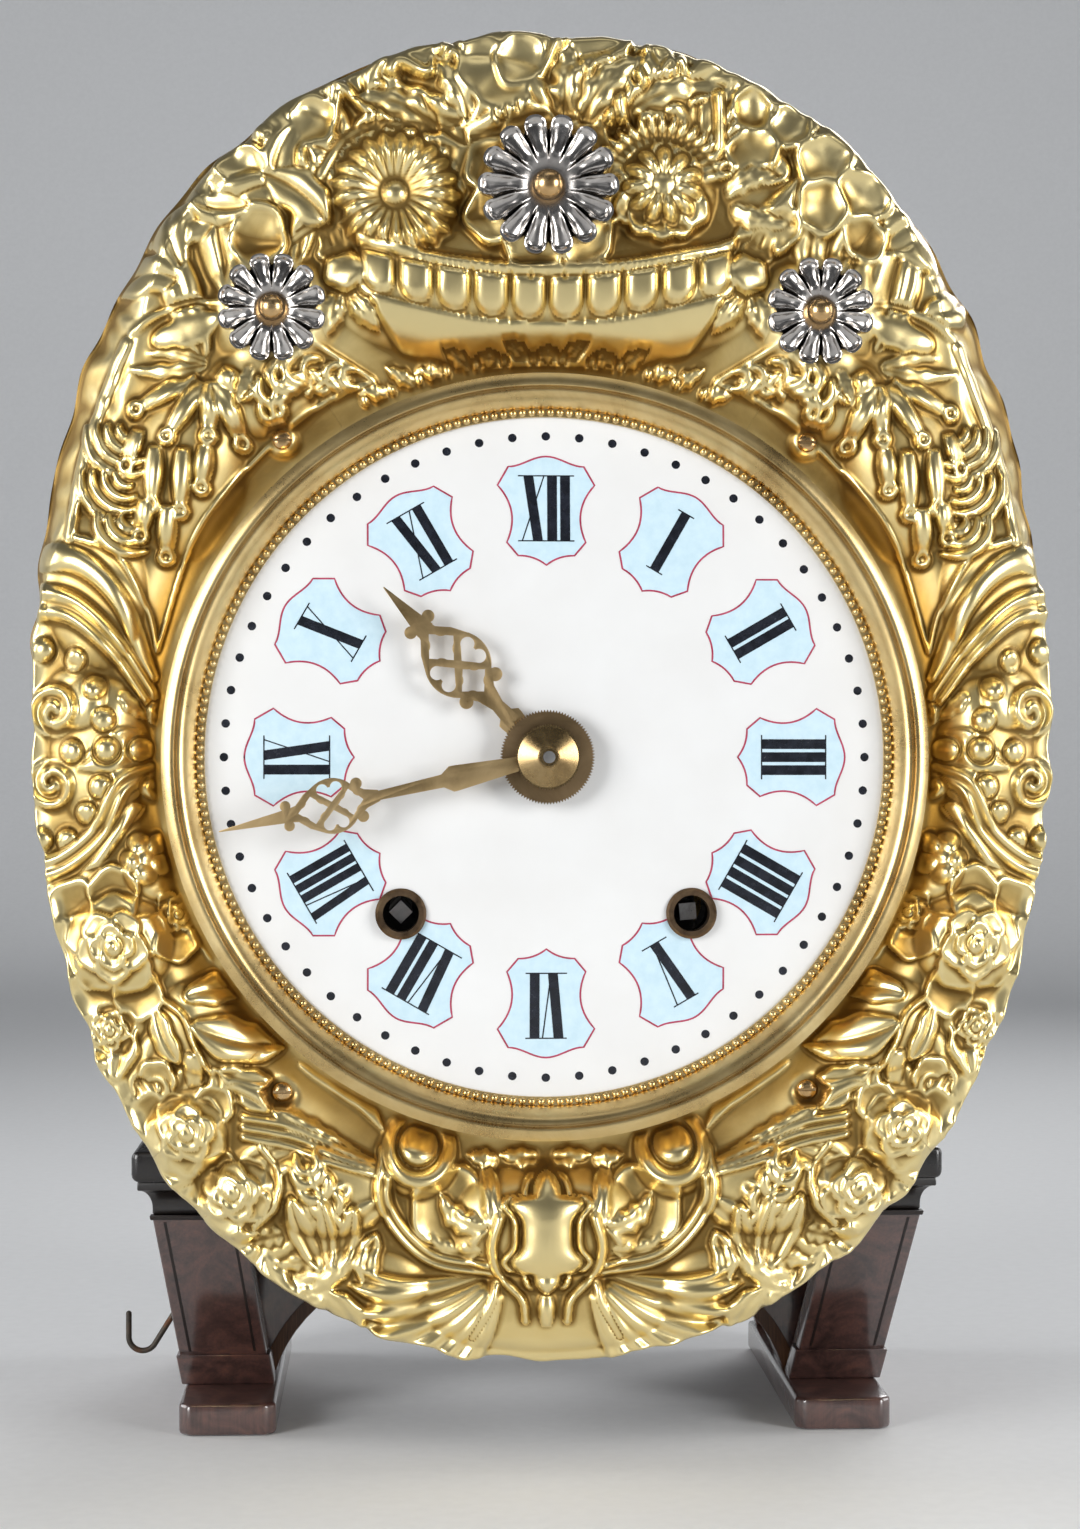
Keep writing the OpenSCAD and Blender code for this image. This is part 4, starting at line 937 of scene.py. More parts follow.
def panel_row(field, half, pitch, rim, sag, tall, rise):
    x, z = field[:2]
    spot = np.nonzero((np.abs(x) < half + 6.0) & (z > rim - tall - 30.0) & (z < rim + sag + 6.0))[0]
    px = x[spot]
    drop = rim + sag * (px / half) ** 2 - z[spot]
    edge_end = ease((half + 2.0 - np.abs(px)) / 2.0)
    band = unit(1.0 - ((drop - 1.2) / 2.1) ** 2) ** 0.5
    lay(field, spot, (band > 0.0) * edge_end, rise * 0.55 + 2.4 * band)
    across = np.abs((px / pitch) % 1.0 - 0.5) / 0.45
    down = (drop - 4.2) / (tall - 4.2)
    corner = unit((down - 0.55) / 0.45)
    cushion = unit(1.0 - unit(np.hypot(across, corner)) ** 4) ** 0.6
    body = (drop > 3.4) & (drop < tall + 1.2) & (np.abs(px) < half)
    lay(field, spot, body * edge_end, rise * (0.45 + 0.5 * cushion * ease((down + 0.06) / 0.08)))
    wall = unit((drop - tall) / 17.0)
    belly = (drop >= tall + 0.6) & (drop < tall + 17.0) & (np.abs(px) < half + 1.0)
    narrow = ease((half + 1.0 - np.abs(px) - 14.0 * wall) / 3.0)
    lay(field, spot, belly * narrow, rise * 0.7 * unit(1.0 - wall ** 2.2) ** 0.5)


def shield(field, cx, cz, half_w, half_h, rise):
    spot, dx, dz = near(field, cx, cz, half_h * 1.3)
    dx, dz = np.abs(dx), dz / half_h
    ears = np.exp(-((dz - 0.5) / 0.17) ** 2) + np.exp(-((dz + 0.46) / 0.17) ** 2)
    tongue = 0.4 * unit(1.0 - unit((np.abs(dz) - 0.62) / 0.38) ** 2) ** 0.6
    body = (0.68 + 0.32 * ears) * ease((0.72 - np.abs(dz + 0.01)) / 0.12)
    edge = half_w * np.maximum(body, tongue) + 1e-6
    q = dx / edge
    form = rise * (0.7 + 0.75 * unit(1.0 - q * q) ** 0.7)
    rail = 0.95 * rise * np.exp(-((dx - edge - 2.9) / 1.0) ** 2) * ease((0.98 - np.abs(dz)) / 0.1)
    lay(field, spot, ease((edge + 4.6 - dx) / 0.8) * (np.abs(dz) < 1.0), rail)
    lay(field, spot, ease((1.1 - q) / 0.1) * (np.abs(dz) < 1.0), form)


CREST_MASSES = ((0, 156, 74, 27, 13), (-50, 190, 22, 22, 9), (39, 191, 19, 19, 10), (-90, 196, 26, 24, 7),
                (88, 194, 28, 26, 7), (-22, 224, 26, 13, 6), (26, 226, 24, 13, 6), (0, 190, 30, 26, 7))
SIDE_MASSES = ((-121, 96, 20, 30, 9), (-97, 122, 20, 15, 8), (-151, 56, 17, 28, 9), (-150, 2, 17, 26, 8),
               (-158, 20, 11, 11, 6), (-143, -63, 18, 18, 13), (-130, -37, 12, 12, 8), (-112, -90, 20, 17, 8))
APRON_MASSES = ((-121, -128, 14, 14, 10), (-103, -150, 14, 14, 10), (-73, -146, 22, 16, 9),
                (-43, -135, 14, 14, 10), (0, -158, 32, 22, 13), (0, -188, 40, 14, 9), (-62, -178, 22, 13, 7))


def bulge(x, z, masses):
    total = np.zeros_like(x)
    for cx, cz, half_w, half_h, rise in masses:
        d = 1.0 - ((x - cx) / half_w) ** 2 - ((z - cz) / half_h) ** 2
        total += np.where(d > 0.0, rise * d * (2.0 - d), 0.0)
    return total


def seated(x, z, t):
    seats = [(*LARGE_AT, 15.0, LARGE_SEAT, 9.0)]
    seats += [(side * SMALL_OUT, SMALL_UP, 14.0, SMALL_SEAT, 9.0) for side in (-1, 1)]
    seats += [(side * SCREW_OUT, up, 3.5, SCREW_SEAT, 3.0) for side in (-1, 1) for up in SCREW_UPS]
    for cx, cz, flat, level, slope in seats:
        t = level + (t - level) * ease((np.hypot(x - cx, z - cz) - flat) / slope)
    return t


def chased(x, z, ground):
    height = ground.copy()
    crest((x, z, ground, height))
    for side in (-1.0, 1.0):
        for part in (shoulder, flank, lower_side, apron_side):
            part((side * x, z, ground, height))
    apron_middle((x, z, ground, height))
    return height


def rim_point(degrees, s):
    turn = math.radians(degrees)
    return polar(0.0, 0.0, BORDER_R + s * (float(rim_reach(turn)) - BORDER_R), turn)


def strewn(first, last, count, seed=12.9898):
    for k in range(count):
        sway = math.sin(k * seed) * STRAY % 1.0 - 0.5
        yield k, first + (last - first) * (k + 0.5) / count, sway


def foliage(field, first, last, count, s0, s1, width, rise, lean):
    for k, here, sway in strewn(first, last, count):
        root = rim_point(here - lean * (1.0 + sway), s0)
        tip = rim_point(here + lean * (1.0 - sway), s1 + 0.06 * sway)
        leaf(field, *root, *tip, width * (1.0 + 0.5 * sway), rise, 2, 0.2 * sway, 0.05)


def rolled_leaves(field, first, last, count, s, size, rise, swing):
    for k, here, sway in strewn(first, last, count):
        middle = rim_point(here + 3.0 * sway, s + 0.05 * sway)
        heading = math.radians(here) + (swing if k % 2 else -swing) * (1.0 + sway)
        long = 3.1 * size * (1.0 + 0.35 * sway)
        folded_leaf(field, *middle, long, 0.6 * long, heading, rise, 1.0 if k % 3 else -1.0)


def curls(field, first, last, count, s, wide, rise):
    places = ((-3.4, -0.13), (-1.6, 0.03), (0.6, -0.02), (2.2, 0.08), (3.4, 0.02))
    for k, here, sway in strewn(first, last, count, 78.233):
        reach = (1.0 if k % 2 else -1.0) * (1.0 + 0.4 * sway)
        line = [rim_point(here + reach * turn, s + 0.06 * sway + step) for turn, step in places]
        ribbon(field, line, wide * (1.0 + 0.4 * sway), 0.4 * wide, rise)


def each(shape, field, places, *rest):
    for place in places:
        shape(field, *place, *rest)


def crest(field):
    foliage(field, 66, 114, 8, 0.45, 0.9, 21.0, 5.0, -2.6)
    rolled_leaves(field, 62, 118, 11, 0.74, 8.5, 5.6, 0.8)
    rolled_leaves(field, 116, 60, 12, 0.91, 8.5, 5.4, 1.1)
    foliage(field, 50, 66, 4, 0.5, 0.95, 15.0, 5.0, 2.6)
    foliage(field, 114, 130, 4, 0.5, 0.95, 15.0, 5.0, -2.6)
    rolled_leaves(field, 48, 62, 4, 0.9, 8.5, 5.0, 0.8)
    rolled_leaves(field, 118, 132, 4, 0.9, 8.5, 5.0, 0.8)
    curls(field, 70, 112, 9, 0.86, 6.0, 6.6)
    for k in range(7):
        a = math.radians(90 + k * 360 / 7 + 12)
        cupped_petal(field, *polar(*LARGE_AT, 19, a), 11.5, a, 4.6, 3.0)
    each(leaf, field, ((-28, 214, -56, 231, 15, 5.0, 4, 0.1), (-26, 215, -38, 238, 12, 4.8, 4, -0.06),
                       (-36, 211, -66, 223, 12, 4.4, 4, -0.12)))
    each(cupped_petal, field, ((-18, 231, 12, 2.2), (-9, 236, 9, 1.2)), 5.2, 2.6, 1.25)
    each(leaf, field, ((6, 216, 8, 243, 14, 4.8, 4), (12, 214, 34, 238, 14, 4.8, 4, 0.1),
                       (28, 218, 62, 227, 11, 4.0, 4, 0.1)))
    fan(field, 39, 193, 14, 24.5, 0.0, math.radians(168), 17, 5.5)
    petal_flower(field, 39, 192, 15, 11, 5.0, 4.7, 0.2)
    for k in range(5):
        a = math.radians(215 + k * 27)
        cupped_petal(field, *polar(39, 192, 13, a), 6.2, a, 4.4, 2.0)
    petal_flower(field, 39, 192, 14.5, 11, 7.5, 4.9, 0.2)
    fluted_flower(field, -51, 189, 23, 21, 9.0, 4.6, 1.6, 0.15)
    ribbon(field, [[-76, 195], [-68, 208], [-57, 213], [-46, 213]], 4.5, 2.5, 3.2)
    ribbon(field, [[-70, 182], [-82, 176], [-90, 168]], 4.0, 2.0, 2.6)
    left_leaves = ((-79, 214, 9, 1.0), (-92, 214, 7.5, 2.4), (-88, 202, 7.5, 4.4), (-103, 199, 8.5, 2.9),
                   (-101, 187, 8.5, 3.6), (-84, 187, 9.5, 5.6), (-97, 175, 10.5, 1.6), (-110, 186, 7, 3.0))
    for k, (cx, cz, size, angle) in enumerate(left_leaves):
        if k % 3:
            folded_leaf(field, cx, cz, 2.9 * size, 1.7 * size, angle, 5.4, 1.0 if k % 2 else -1.0)
        else:
            cupped_petal(field, cx, cz, size, angle, 6.0, 4.2, 1.15)
    right_leaves = ((70, 205, 9, 0.6), (83, 214, 8, 0.9), (94, 202, 9.5, 0.2), (107, 190, 10, -0.3),
                    (93, 186, 9.5, -1.6), (70, 220, 7.5, 1.6), (78, 178, 8, -2.2), (108, 176, 8, -0.9))
    each(cupped_petal, field, right_leaves, 6.0, 4.2, 1.15)
    each(leaf, field, ((60, 190, 80, 196, 9, 3.2, 4, 0.15), (62, 186, 84, 180, 9, 3.2, 4, -0.1)))
    panel_row(field, 63, 12.6, 164, 10.5, 17.5, 7.0)
    for k in range(-6, 7):
        a = math.radians(90 + 4.2 * k)
        sway = 3.0 if k % 2 else -2.0
        lean = -5 if k < 0 else 5
        leaf(field, *polar(lean, -sway * 0.3, 136, a), *polar(-lean, sway, 138, a), 6.5, 3.0, 3)
        bead(field, *polar(0, 0, 135, a + 0.03), 1.8, 1.6)
    for side in (-1, 1):
        cupped_petal(field, side * 68, 163, 7.5, 0.5 if side > 0 else 2.6, 4.6, -1.8)
        leaf(field, side * 66, 155, side * 56, 143, 9, 3.6, 4)
        leaf(field, side * 70, 156, side * 74, 141, 9, 3.6, 4)
        ivy(field, side * 72, 172, 7, 1.2 if side > 0 else 1.9)


def shoulder(field):
    ribbon(field, [[-140, 143], [-131, 149], [-118, 153], [-106, 152]], 3.2, 2.4, 2.2)
    cupped_petal(field, -121, 143, 6.0, 0.35, 3.4, -1.2, 2.1)
    ribbon(field, [[-142, 140], [-150, 120], [-157, 99], [-160, 74]], 5.0, 4.4, 3.0)
    ribbon(field, [[-158, 74], [-144, 68], [-134, 50], [-131, 36]], 2.6, 1.8, 2.0)
    ribbon(field, [[-58, 127.5], [-80, 140], [-88, 142]], 2.2, 1.6, 1.8)
    ribbon(field, [[-58, 127.5], [-76, 119], [-92, 106], [-107, 90], [-120, 70], [-131, 36]], 2.2, 1.6, 1.8)
    for cx, cz, count in ((-139.5, 111, 4), (-140.5, 95, 4), (-138.5, 80.5, 3)):
        for k in range(count):
            arc = [polar(cx, cz, 4.2 + 4.1 * k, math.radians(a)) for a in range(176, 291, 19)]
            ribbon(field, arc, 5.0, 3.8, 3.9, 1, 0.2, 0.5)
    root_x, root_z = -112, 131
    for tip_x, tip_z in ((-138, 117), (-127, 107), (-113, 107), (-102, 105), (-101, 122)):
        bud(field, root_x + 0.22 * (tip_x - root_x), root_z + 0.22 * (tip_z - root_z), tip_x, tip_z, 7.4, 5.4)
    each(bud, field, ((-137, 110, -141, 98), (-131, 104, -132, 84), (-121.5, 103, -122.5, 82),
                      (-114, 104, -115.5, 90), (-126.5, 84, -127.5, 67), (-134, 86, -136, 74)), 7.0, 5.2)
    each(leaf, field, ((-113, 132, -142, 131, 7, 2.8, 4, 0.06), (-113, 132, -135, 136, 5, 2.4, 4, -0.06)))
    comma_leaves(field, [[-90, 110], [-92, 119], [-87, 127], [-78, 130]], 5, 9.5, 4.2, 3.0)
    comma_leaves(field, [[-80, 122], [-74, 127], [-66, 128]], 3, 6.5, 3.6, 2.4)
    leaf(field, -99, 131, -104, 117, 6, 2.4, 4)


def flank(field):
    foliage(field, 176, 190, 5, 0.1, 0.55, 8.0, 2.6, 2.0)
    ribbon(field, [[-172, 68], [-156, 65], [-142, 51], [-133, 27]], 11.0, 5.0, 4.0)
    ribbon(field, [[-174, 53], [-158, 49], [-143, 35], [-129, 13]], 14.0, 6.0, 5.0, 2, 0.6)
    volute(field, -131, 15, 4.4, 1.2, -1, 3.2, 0.7)
    each(bead, field, ((-169, 36), (-158, 32.5), (-151, 23.5), (-148, 12.5), (-159, 2), (-147, 2.5),
                       (-136, 2.5), (-149, -10), (-154, -19), (-170, -28), (-161, -28)))
    volute(field, -165, 15.5, 9.0, 1.5, 1, 3.4, 1.7)
    volute(field, -166, -9, 8.6, 1.5, -1, 3.4, 1.7)
    each(leaf, field, ((-143, 22, -134, 12, 6, 2.2, 3), (-143, -6, -135, -9, 5, 2.0, 3)))
    ribbon(field, [[-133, -5], [-142, -10], [-150, -25], [-162, -35], [-174, -39]], 7.5, 9.5, 3.8, 2, 0.3)
    volute(field, -132.5, -10, 4.6, 1.2, 1, 3.4, 0.7)
    ribbon(field, [[-138, -17], [-147, -30], [-158, -43], [-170, -48]], 4.0, 6.0, 3.0)


def lower_side(field):
    foliage(field, 193, 232, 7, 0.45, 0.99, 15.0, 3.0, 3.0)
    rolled_leaves(field, 206, 230, 7, 0.9, 6.5, 4.4, 0.9)
    each(blade, field, ((-152, -78, -154, -101, 10, 4.2, -1.0), (-144, -84, -145, -109, 12, 4.6, 1.0),
                        (-131, -84, -123, -103, 9, 4.4, -1.0), (-117, -62, -103, -72, 9.5, 3.8, 1.0),
                        (-122, -80, -101, -79, 10.5, 4.2, 1.0), (-119, -89, -87, -97, 15, 5.2, -1.0)))
    ribbon(field, [[-131, -80], [-122, -86], [-118, -96], [-113, -106]], 2.8, 2.0, 3.4)
    blade(field, -111.5, -104, -110, -118, 8.5, 4.0, 1.0)
    bud(field, -119, -99, -118, -112, 7, 3.2, False)
    blade(field, -110, -105, -92, -109, 9, 4.2, -1.0)
    petal_flower(field, -134, -33.5, 9.5, 5, 4.4, 2.7, 0.4)
    each(cupped_petal, field, ((-158, -50, 9.5, 2.4), (-162, -64, 10, 3.0), (-152, -80, 9.5, 4.0),
                               (-137, -79, 9, 5.0), (-145, -46, 9.5, 1.6)), 3.2, 2.2, 1.1)
    each(rose, field, ((-145, -63, 15.5, 6.0, 0.3), (-147, -92, 8.5, 4.6, 1.7)))
    each(cupped_petal, field, ((-131, -108, 7.0, 1.2, 4.4, 2.6), (-124, -62, 7.5, 5.2, 3.2, 1.8)))
    rose(field, -124, -53, 7.5, 3.6, 1.0)
    leaf(field, -84, -103, -54, -128, 9, 2.6, 3, 0.1, 0.0)
    volute(field, -131, -112, 5.0, 1.4, 1, 2.8, 0.8)
    leaf(field, -138, -108, -128, -122, 8, 3.0, 4)
    blade(field, -109, -111, -93, -119, 8, 3.8, 1.0)


def apron_side(field):
    foliage(field, 224, 250, 5, 0.35, 0.99, 15.0, 3.0, -2.8)
    rolled_leaves(field, 230, 252, 6, 0.92, 6.5, 4.4, 0.9)
    leaf(field, -92, -118, -62, -133, 9, 3.0, 5, -0.05)
    for drop in (0.0, 3.4, 6.8):
        fold = [[-102, -121 - drop], [-86, -124 - drop], [-70, -131 - drop * 0.8], [-56, -137 - drop * 0.5]]
        ribbon(field, fold, 3.0, 2.2, 2.4)
    each(cupped_petal, field, ((-133, -120, 8, 2.6), (-131, -133, 8, 3.6), (-112, -117, 7.5, 1.0)), 3.0, 2.0)
    each(rose, field, ((-121, -126, 12.5, 5.0, 0.8), (-106, -146, 12.5, 5.0, 2.0)))
    ribbon(field, [[-96, -131], [-90, -140], [-91, -151], [-98, -158]], 3.0, 2.4, 2.6)
    comma_leaves(field, [[-66, -162], [-72, -152], [-78, -143], [-80, -137]], 5, 9.0, 4.4, 3.0)
    each(leaf, field, ((-86, -160, -100, -164, 9, 3.2, 4), (-72, -164, -92, -172, 10, 3.2, 5, 0.08),
                       (-62, -162, -82, -182, 9, 3.2, 5, 0.06)))
    each(blade, field, ((-76, -173, -86, -147, 9, 4.6, 1.0), (-70, -172, -65, -150, 8, 4.6, -1.0),
                        (-73, -172, -76, -148, 6.5, 5.2, -1.0), (-61, -178, -57, -160, 9, 4.2, 1.0)))


def apron_middle(field):
    for side in (-1.0, 1.0):
        half = (side * field[0], *field[1:])
        fan(half, -13, -172, 8, 54, math.radians(190), math.radians(262), 7, 5.0, 0.25)
        cupped_petal(half, -32, -152, 15, 2.4, 3.0, 3.6)
        each(leaf, half, ((-20, -158, -36, -146, 10, 3.4, 4, 0.2), (-22, -166, -40, -160, 9, 3.0, 4, 0.2)))
        ribbon(half, [[-54, -133], [-54, -151], [-40, -168], [-18, -173]], 6.5, 6.0, 4.0, 2, 0.4)
        volute(half, -43, -132, 13.0, 1.0, 1, 4.0, 1.3, 0.4)
        bead(half, -43, -131, 7.4, 5.0)
        leaf(half, -17.5, -156, -21, -134, 8, 3.8, 2)
        ribbon(half, [[-16, -154], [-18.5, -164], [-16.5, -174], [-8.5, -182], [-7, -190]], 4.2, 3.0, 3.8)
        ribbon(half, [[-17, -177], [-19, -185], [-25, -196]], 3.6, 2.8, 3.0)
        each(leaf, half, ((-2, -136, -16, -135, 7, 3.0, 3), (-16, -137, -27, -135, 7, 3.0, 3)))
    shield(field, 0, -160, 11.6, 20.6, 4.2)
    bud(field, 0, -181, 0, -192, 6, 3.2, False)


def sheet_depth(x, z, s):
    tilt = np.abs(np.degrees(np.arctan2(z, x)) - 90.0)
    tilt = np.minimum(tilt, 360.0 - tilt)
    turn_back = 0.945 - 0.245 * np.exp(-((tilt - 54.0) / 15.0) ** 2)
    skirt = unit((s - turn_back) / (0.985 - turn_back))
    bowl = BEZEL_BACK - 8.0 * ease(s / 0.3) + 6.0 * ease((s - 0.35) / (turn_back - 0.35))
    bowl += (RIM_FACE - BEZEL_BACK + 2.0) * skirt ** 1.5
    flipped = -np.abs(x)
    masses = bulge(x, z, CREST_MASSES) + bulge(flipped, z, SIDE_MASSES) + bulge(flipped, z, APRON_MASSES)
    ground = masses * 0.6
    detail = chased(x, z, ground) - ground
    fade = ease((np.hypot(x, z) - BORDER_R) / 2.5) * ease((1.0 - s) / 0.025)
    broad = ease(s / 0.12) * ease((0.99 - s) / 0.1)
    dents = 0.5 * np.sin(x * 0.21 + 1.3 * np.sin(z * 0.13)) * np.sin(z * 0.19 + 1.1 * np.sin(x * 0.17))
    creased = np.sin(x * 0.33 + 1.7 * np.sin(z * 0.21)) * np.sin(z * 0.29 + 1.9 * np.sin(x * 0.17))
    dents = dents * (0.25 + 0.75 * ease((s - 0.6) / 0.3)) + 4.4 * creased * skirt * (1.0 - skirt)
    t = bowl - ground * broad - detail * fade - dents
    return seated(x, z, t)


def rim_at(u):
    full = 1.0 + CORNER_SWELL * (1.0 - np.cos(4.0 * u)) / 2.0
    return SURROUND_W / 2.0 * full * np.cos(u), SURROUND_LIFT + SURROUND_H / 2.0 * full * np.sin(u)


def rim_reach(turn):
    x, z = rim_at(np.linspace(0.0, 2.0 * math.pi, RIM_STEPS + 1))
    return np.interp(turn, np.unwrap(np.arctan2(z, x)), np.hypot(x, z), period=2.0 * math.pi)


SHEET_T = 0.9
SHEET_ROWS = 160
UNDER_ROWS = 3
UNDER_BEZEL = 124.0
BACK_STEP = 3
SEAM = 0.012
SPARE = 6
WAVE = 2.6


def swept(field, reach, take):
    for axis in (0, 1):
        padded = np.pad(field, [(reach, reach) if k == axis else (0, 0) for k in (0, 1)], mode="edge")
        field = take(sliding_window_view(padded, 2 * reach + 1, axis=axis), axis=-1)
    return field


def pressed_sheet(name, node, first, last, columns, rows):
    step = (last - first - 2.0 * SEAM) / (columns - 1)
    x, z = rim_at(np.radians(first + SEAM + step * np.arange(-SPARE, columns + SPARE))[:, None])
    turn = np.arctan2(z, x)
    s = np.linspace(0.0, 1.0, rows - UNDER_ROWS)[None, :]
    long_wave = 0.3 * np.sin(31.0 * turn + 2.0 * np.sin(7.0 * turn))
    wave = WAVE * (0.5 + long_wave + 0.2 * np.sin(53.0 * turn + 1.0))
    r = BORDER_R + s * (rim_reach(turn) - wave * ease((s - 0.8) / 0.2) - BORDER_R)
    x, z = r * np.cos(turn), r * np.sin(turn)
    t = sheet_depth(x.ravel(), z.ravel(), np.broadcast_to(s, x.shape).ravel()).reshape(x.shape)
    # hollow is painted shade: it grows darker where the sheet lies deeper than the sheet around it, in
    # creases and recesses
    hollow = unit(0.5 + 0.34 * (t - swept(t, 4, np.mean)) + 0.08 * (t - swept(t, 24, np.mean)))
    t = swept(swept(t, 1, np.mean), 1, np.mean)
    x, z, t, hollow, turn = (grid[SPARE:SPARE + columns] for grid in (x, z, t, hollow, turn))
    t[:, 0] = BEZEL_BACK
    t[:, -1] = RIM_FACE
    under = UNDER_BEZEL + (BORDER_R - UNDER_BEZEL) * np.arange(UNDER_ROWS) / UNDER_ROWS
    x = np.hstack([under * np.cos(turn), x])
    z = np.hstack([under * np.sin(turn), z])
    t = np.hstack([np.full((columns, UNDER_ROWS), BEZEL_BACK), t])
    hollow = np.hstack([np.full((columns, UNDER_ROWS), 0.5), hollow])
    back = np.minimum(swept(t, 3, np.max) + SHEET_T, RIM_FACE + SHEET_T)
    kept_c, kept_r = (np.append(np.arange(0, size - 1, BACK_STEP), size - 1) for size in (columns, rows))
    front_co = np.stack([x, t - DEPTH_MID, z + DIAL_UP], -1)
    back_co = np.stack([x, back - DEPTH_MID, z + DIAL_UP], -1)[np.ix_(kept_c, kept_r)]
    fine = np.arange(columns * rows).reshape(columns, rows)
    coarse = fine.size + np.arange(len(kept_c) * len(kept_r)).reshape(len(kept_c), -1)
    faces = grid_faces(0, *fine.shape, True) + grid_faces(fine.size, *coarse.shape, False)
    walls = [(kept_c, fine[:, k], coarse[:, k]) for k in (0, -1)]
    walls += [(kept_r, fine[k], coarse[k]) for k in (0, -1)]
    for kept, edge, rear in walls:
        for k in range(len(kept) - 1):
            faces.append([*edge[kept[k]:kept[k + 1] + 1], rear[k + 1], rear[k]])
    points = np.vstack([front_co.reshape(-1, 3), back_co.reshape(-1, 3)]) * MM
    piece = meshed(name, points.tolist(), [], faces)
    # The hollow attribute carries this painted crease shade to the brass material
    crease_shade_attribute = piece.data.attributes.new("hollow", "FLOAT", "POINT")
    crease_shade_attribute.data.foreach_set("value", np.append(hollow.ravel(), np.full(coarse.size, 0.5)))
    fitted(cleaned(piece), pressed_brass, stands_for=[node], corner=60)


pressed_brass, tree, shader = finish_for("pressed_brass_bright")
age = placed_group(tree, metal_age, {"Cloud size": 24.0, "Grain size": 420.0})
# Colour mixes real tarnish clouds with painted shade in the creases, read from the hollow attribute; the same
# mix drives roughness
crease_shade_node = put(tree, "ShaderNodeAttribute", attribute_name="hollow")
tarnish_and_crease_shade = put(tree, "ShaderNodeMath", operation="MULTIPLY_ADD")
tarnish_and_crease_shade.inputs[1].default_value = 0.35
tree.links.new(age.outputs["Cloud"], tarnish_and_crease_shade.inputs[0])
tree.links.new(crease_shade_node.outputs["Fac"], tarnish_and_crease_shade.inputs[2])
coloured(tree, tarnish_and_crease_shade.outputs[0], (0.45, (0.93, 0.765, 0.38)), (0.68, (0.86, 0.68, 0.305)),
         (0.84, (0.56, 0.40, 0.145)), (0.98, (0.27, 0.17, 0.05)))
roughened(tree, tarnish_and_crease_shade.outputs[0], 0.30, 0.5, 0.5, 1.0)
bumped(tree, age.outputs["Grain"], 0.05, 0.5)
tuned(shader, {"Metallic": 1.0})

for part, first, last, columns in (("crest", 48.0, 132.0, 500), ("left_side", 132.0, 222.0, 540),
                                   ("apron", 222.0, 318.0, 500), ("right_side", 318.0, 408.0, 540)):
    pressed_sheet(part + "_repousse", part + "_sheet", first, last, columns, SHEET_ROWS)


# Surround screws: four slotted copper-brass screws that pass through the sheets into the iron
# plate. Their heads are flat and rubbed bright.
copper_brass = metal("copper_brass_rubbed", ((0.46, 0.27, 0.115), (0.68, 0.44, 0.20), (0.80, 0.56, 0.29)),
                     (0.14, 0.32), 120.0, 1400.0, 0.02)
dressed(copper_brass, "surround_screws")


# Rosettes: three silvered daisies pressed from sheet, one large on the crest and two small on
# the shoulders, each held by a round-headed stud of copper brass through its middle.
LARGE_WIDE = 47.0
SMALL_WIDE = 36.5
LARGE_STUD_R = 5.1
SMALL_STUD_R = 4.4
LARGE_PETALS = 14
SMALL_PETALS = 12
PETAL_STEPS = 20
PETAL_ROWS = 34
STUD_SEAT = 2.2
STUD_RIM = 0.6
STUD_ROWS = 16
STUD_STEPS = 64


def daisy(name, across, up, seat, wide, petals):
    front = [(wide / 2.0 * k / PETAL_ROWS, -1.0) for k in range(PETAL_ROWS + 1)]
    rear = [(wide / 2.0 * f, 0.0) for f in (1.0, 0.5, 0.0)]
    piece = turned(name, front + rear, across, DIAL_UP + up, petals * PETAL_STEPS, False)
    count = len(piece.data.vertices)
    co = np.empty(count * 3)
    piece.data.vertices.foreach_get("co", co)
    co = co.reshape(-1, 3) / MM
    dx, dz = co[:, 0] - across, co[:, 2] - DIAL_UP - up
    facing = co[:, 1] + DEPTH_MID < -0.5
    f = np.hypot(dx, dz) / (wide / 2.0)
    turn = np.arctan2(dz, dx) + math.pi / 2.0
    side = np.abs((turn * petals / math.pi) % 2.0 - 1.0)
    edge = 1.0 - 0.21 * side ** 2.8
    bowl = 1.9 + 2.0 * ease((f - 0.17) / 0.36) - 1.3 * ease((f - 0.62) / 0.4)
    trough = np.clip(1.0 - (side / 0.72) ** 2, 0.0, 1.0) * ease((f - 0.36) / 0.3) * ease((0.97 - f) / 0.1)
    rim = np.exp(-((side - 0.76) / 0.1) ** 2) * ease((f - 0.42) / 0.2) + 0.7 * ease((f - 0.88) / 0.1)
    cleft = np.exp(-((side - 1.0) / 0.11) ** 2) * ease((f - 0.3) / 0.35)
    rise = np.maximum(bowl - 1.5 * trough + 0.7 * rim - 2.4 * cleft, 0.45)
    stretch = 1.0 + (edge - 1.0) * ease((f - 0.2) / 0.8)
    co[:, 0] = across + dx * stretch
    co[:, 2] = DIAL_UP + up + dz * stretch
    co[:, 1] = np.where(facing, seat - rise, seat) - DEPTH_MID
    piece.data.vertices.foreach_set("co", (co * MM).ravel())
    piece.data.update()
    return piece


def joined(first, *others):
    pick_only(first)
    for piece in others:
        piece.select_set(True)
    bpy.ops.object.join()
    return first


silvered = metal("silvered_bright", ((0.40, 0.37, 0.345), (0.55, 0.52, 0.49), (0.68, 0.645, 0.61)),
                 (0.15, 0.28), 90.0, 1300.0, 0.03)
large = daisy("large_rosette_daisy", *LARGE_AT, LARGE_SEAT, LARGE_WIDE, LARGE_PETALS)
fitted(large, silvered, stands_for=["large_rosette"], corner=70)
small = [daisy("small_rosette_daisy", out, SMALL_UP, SMALL_SEAT, SMALL_WIDE, SMALL_PETALS)
         for out in (-SMALL_OUT, SMALL_OUT)]
fitted(joined(*small), silvered, stands_for=["small_rosettes"], corner=70)


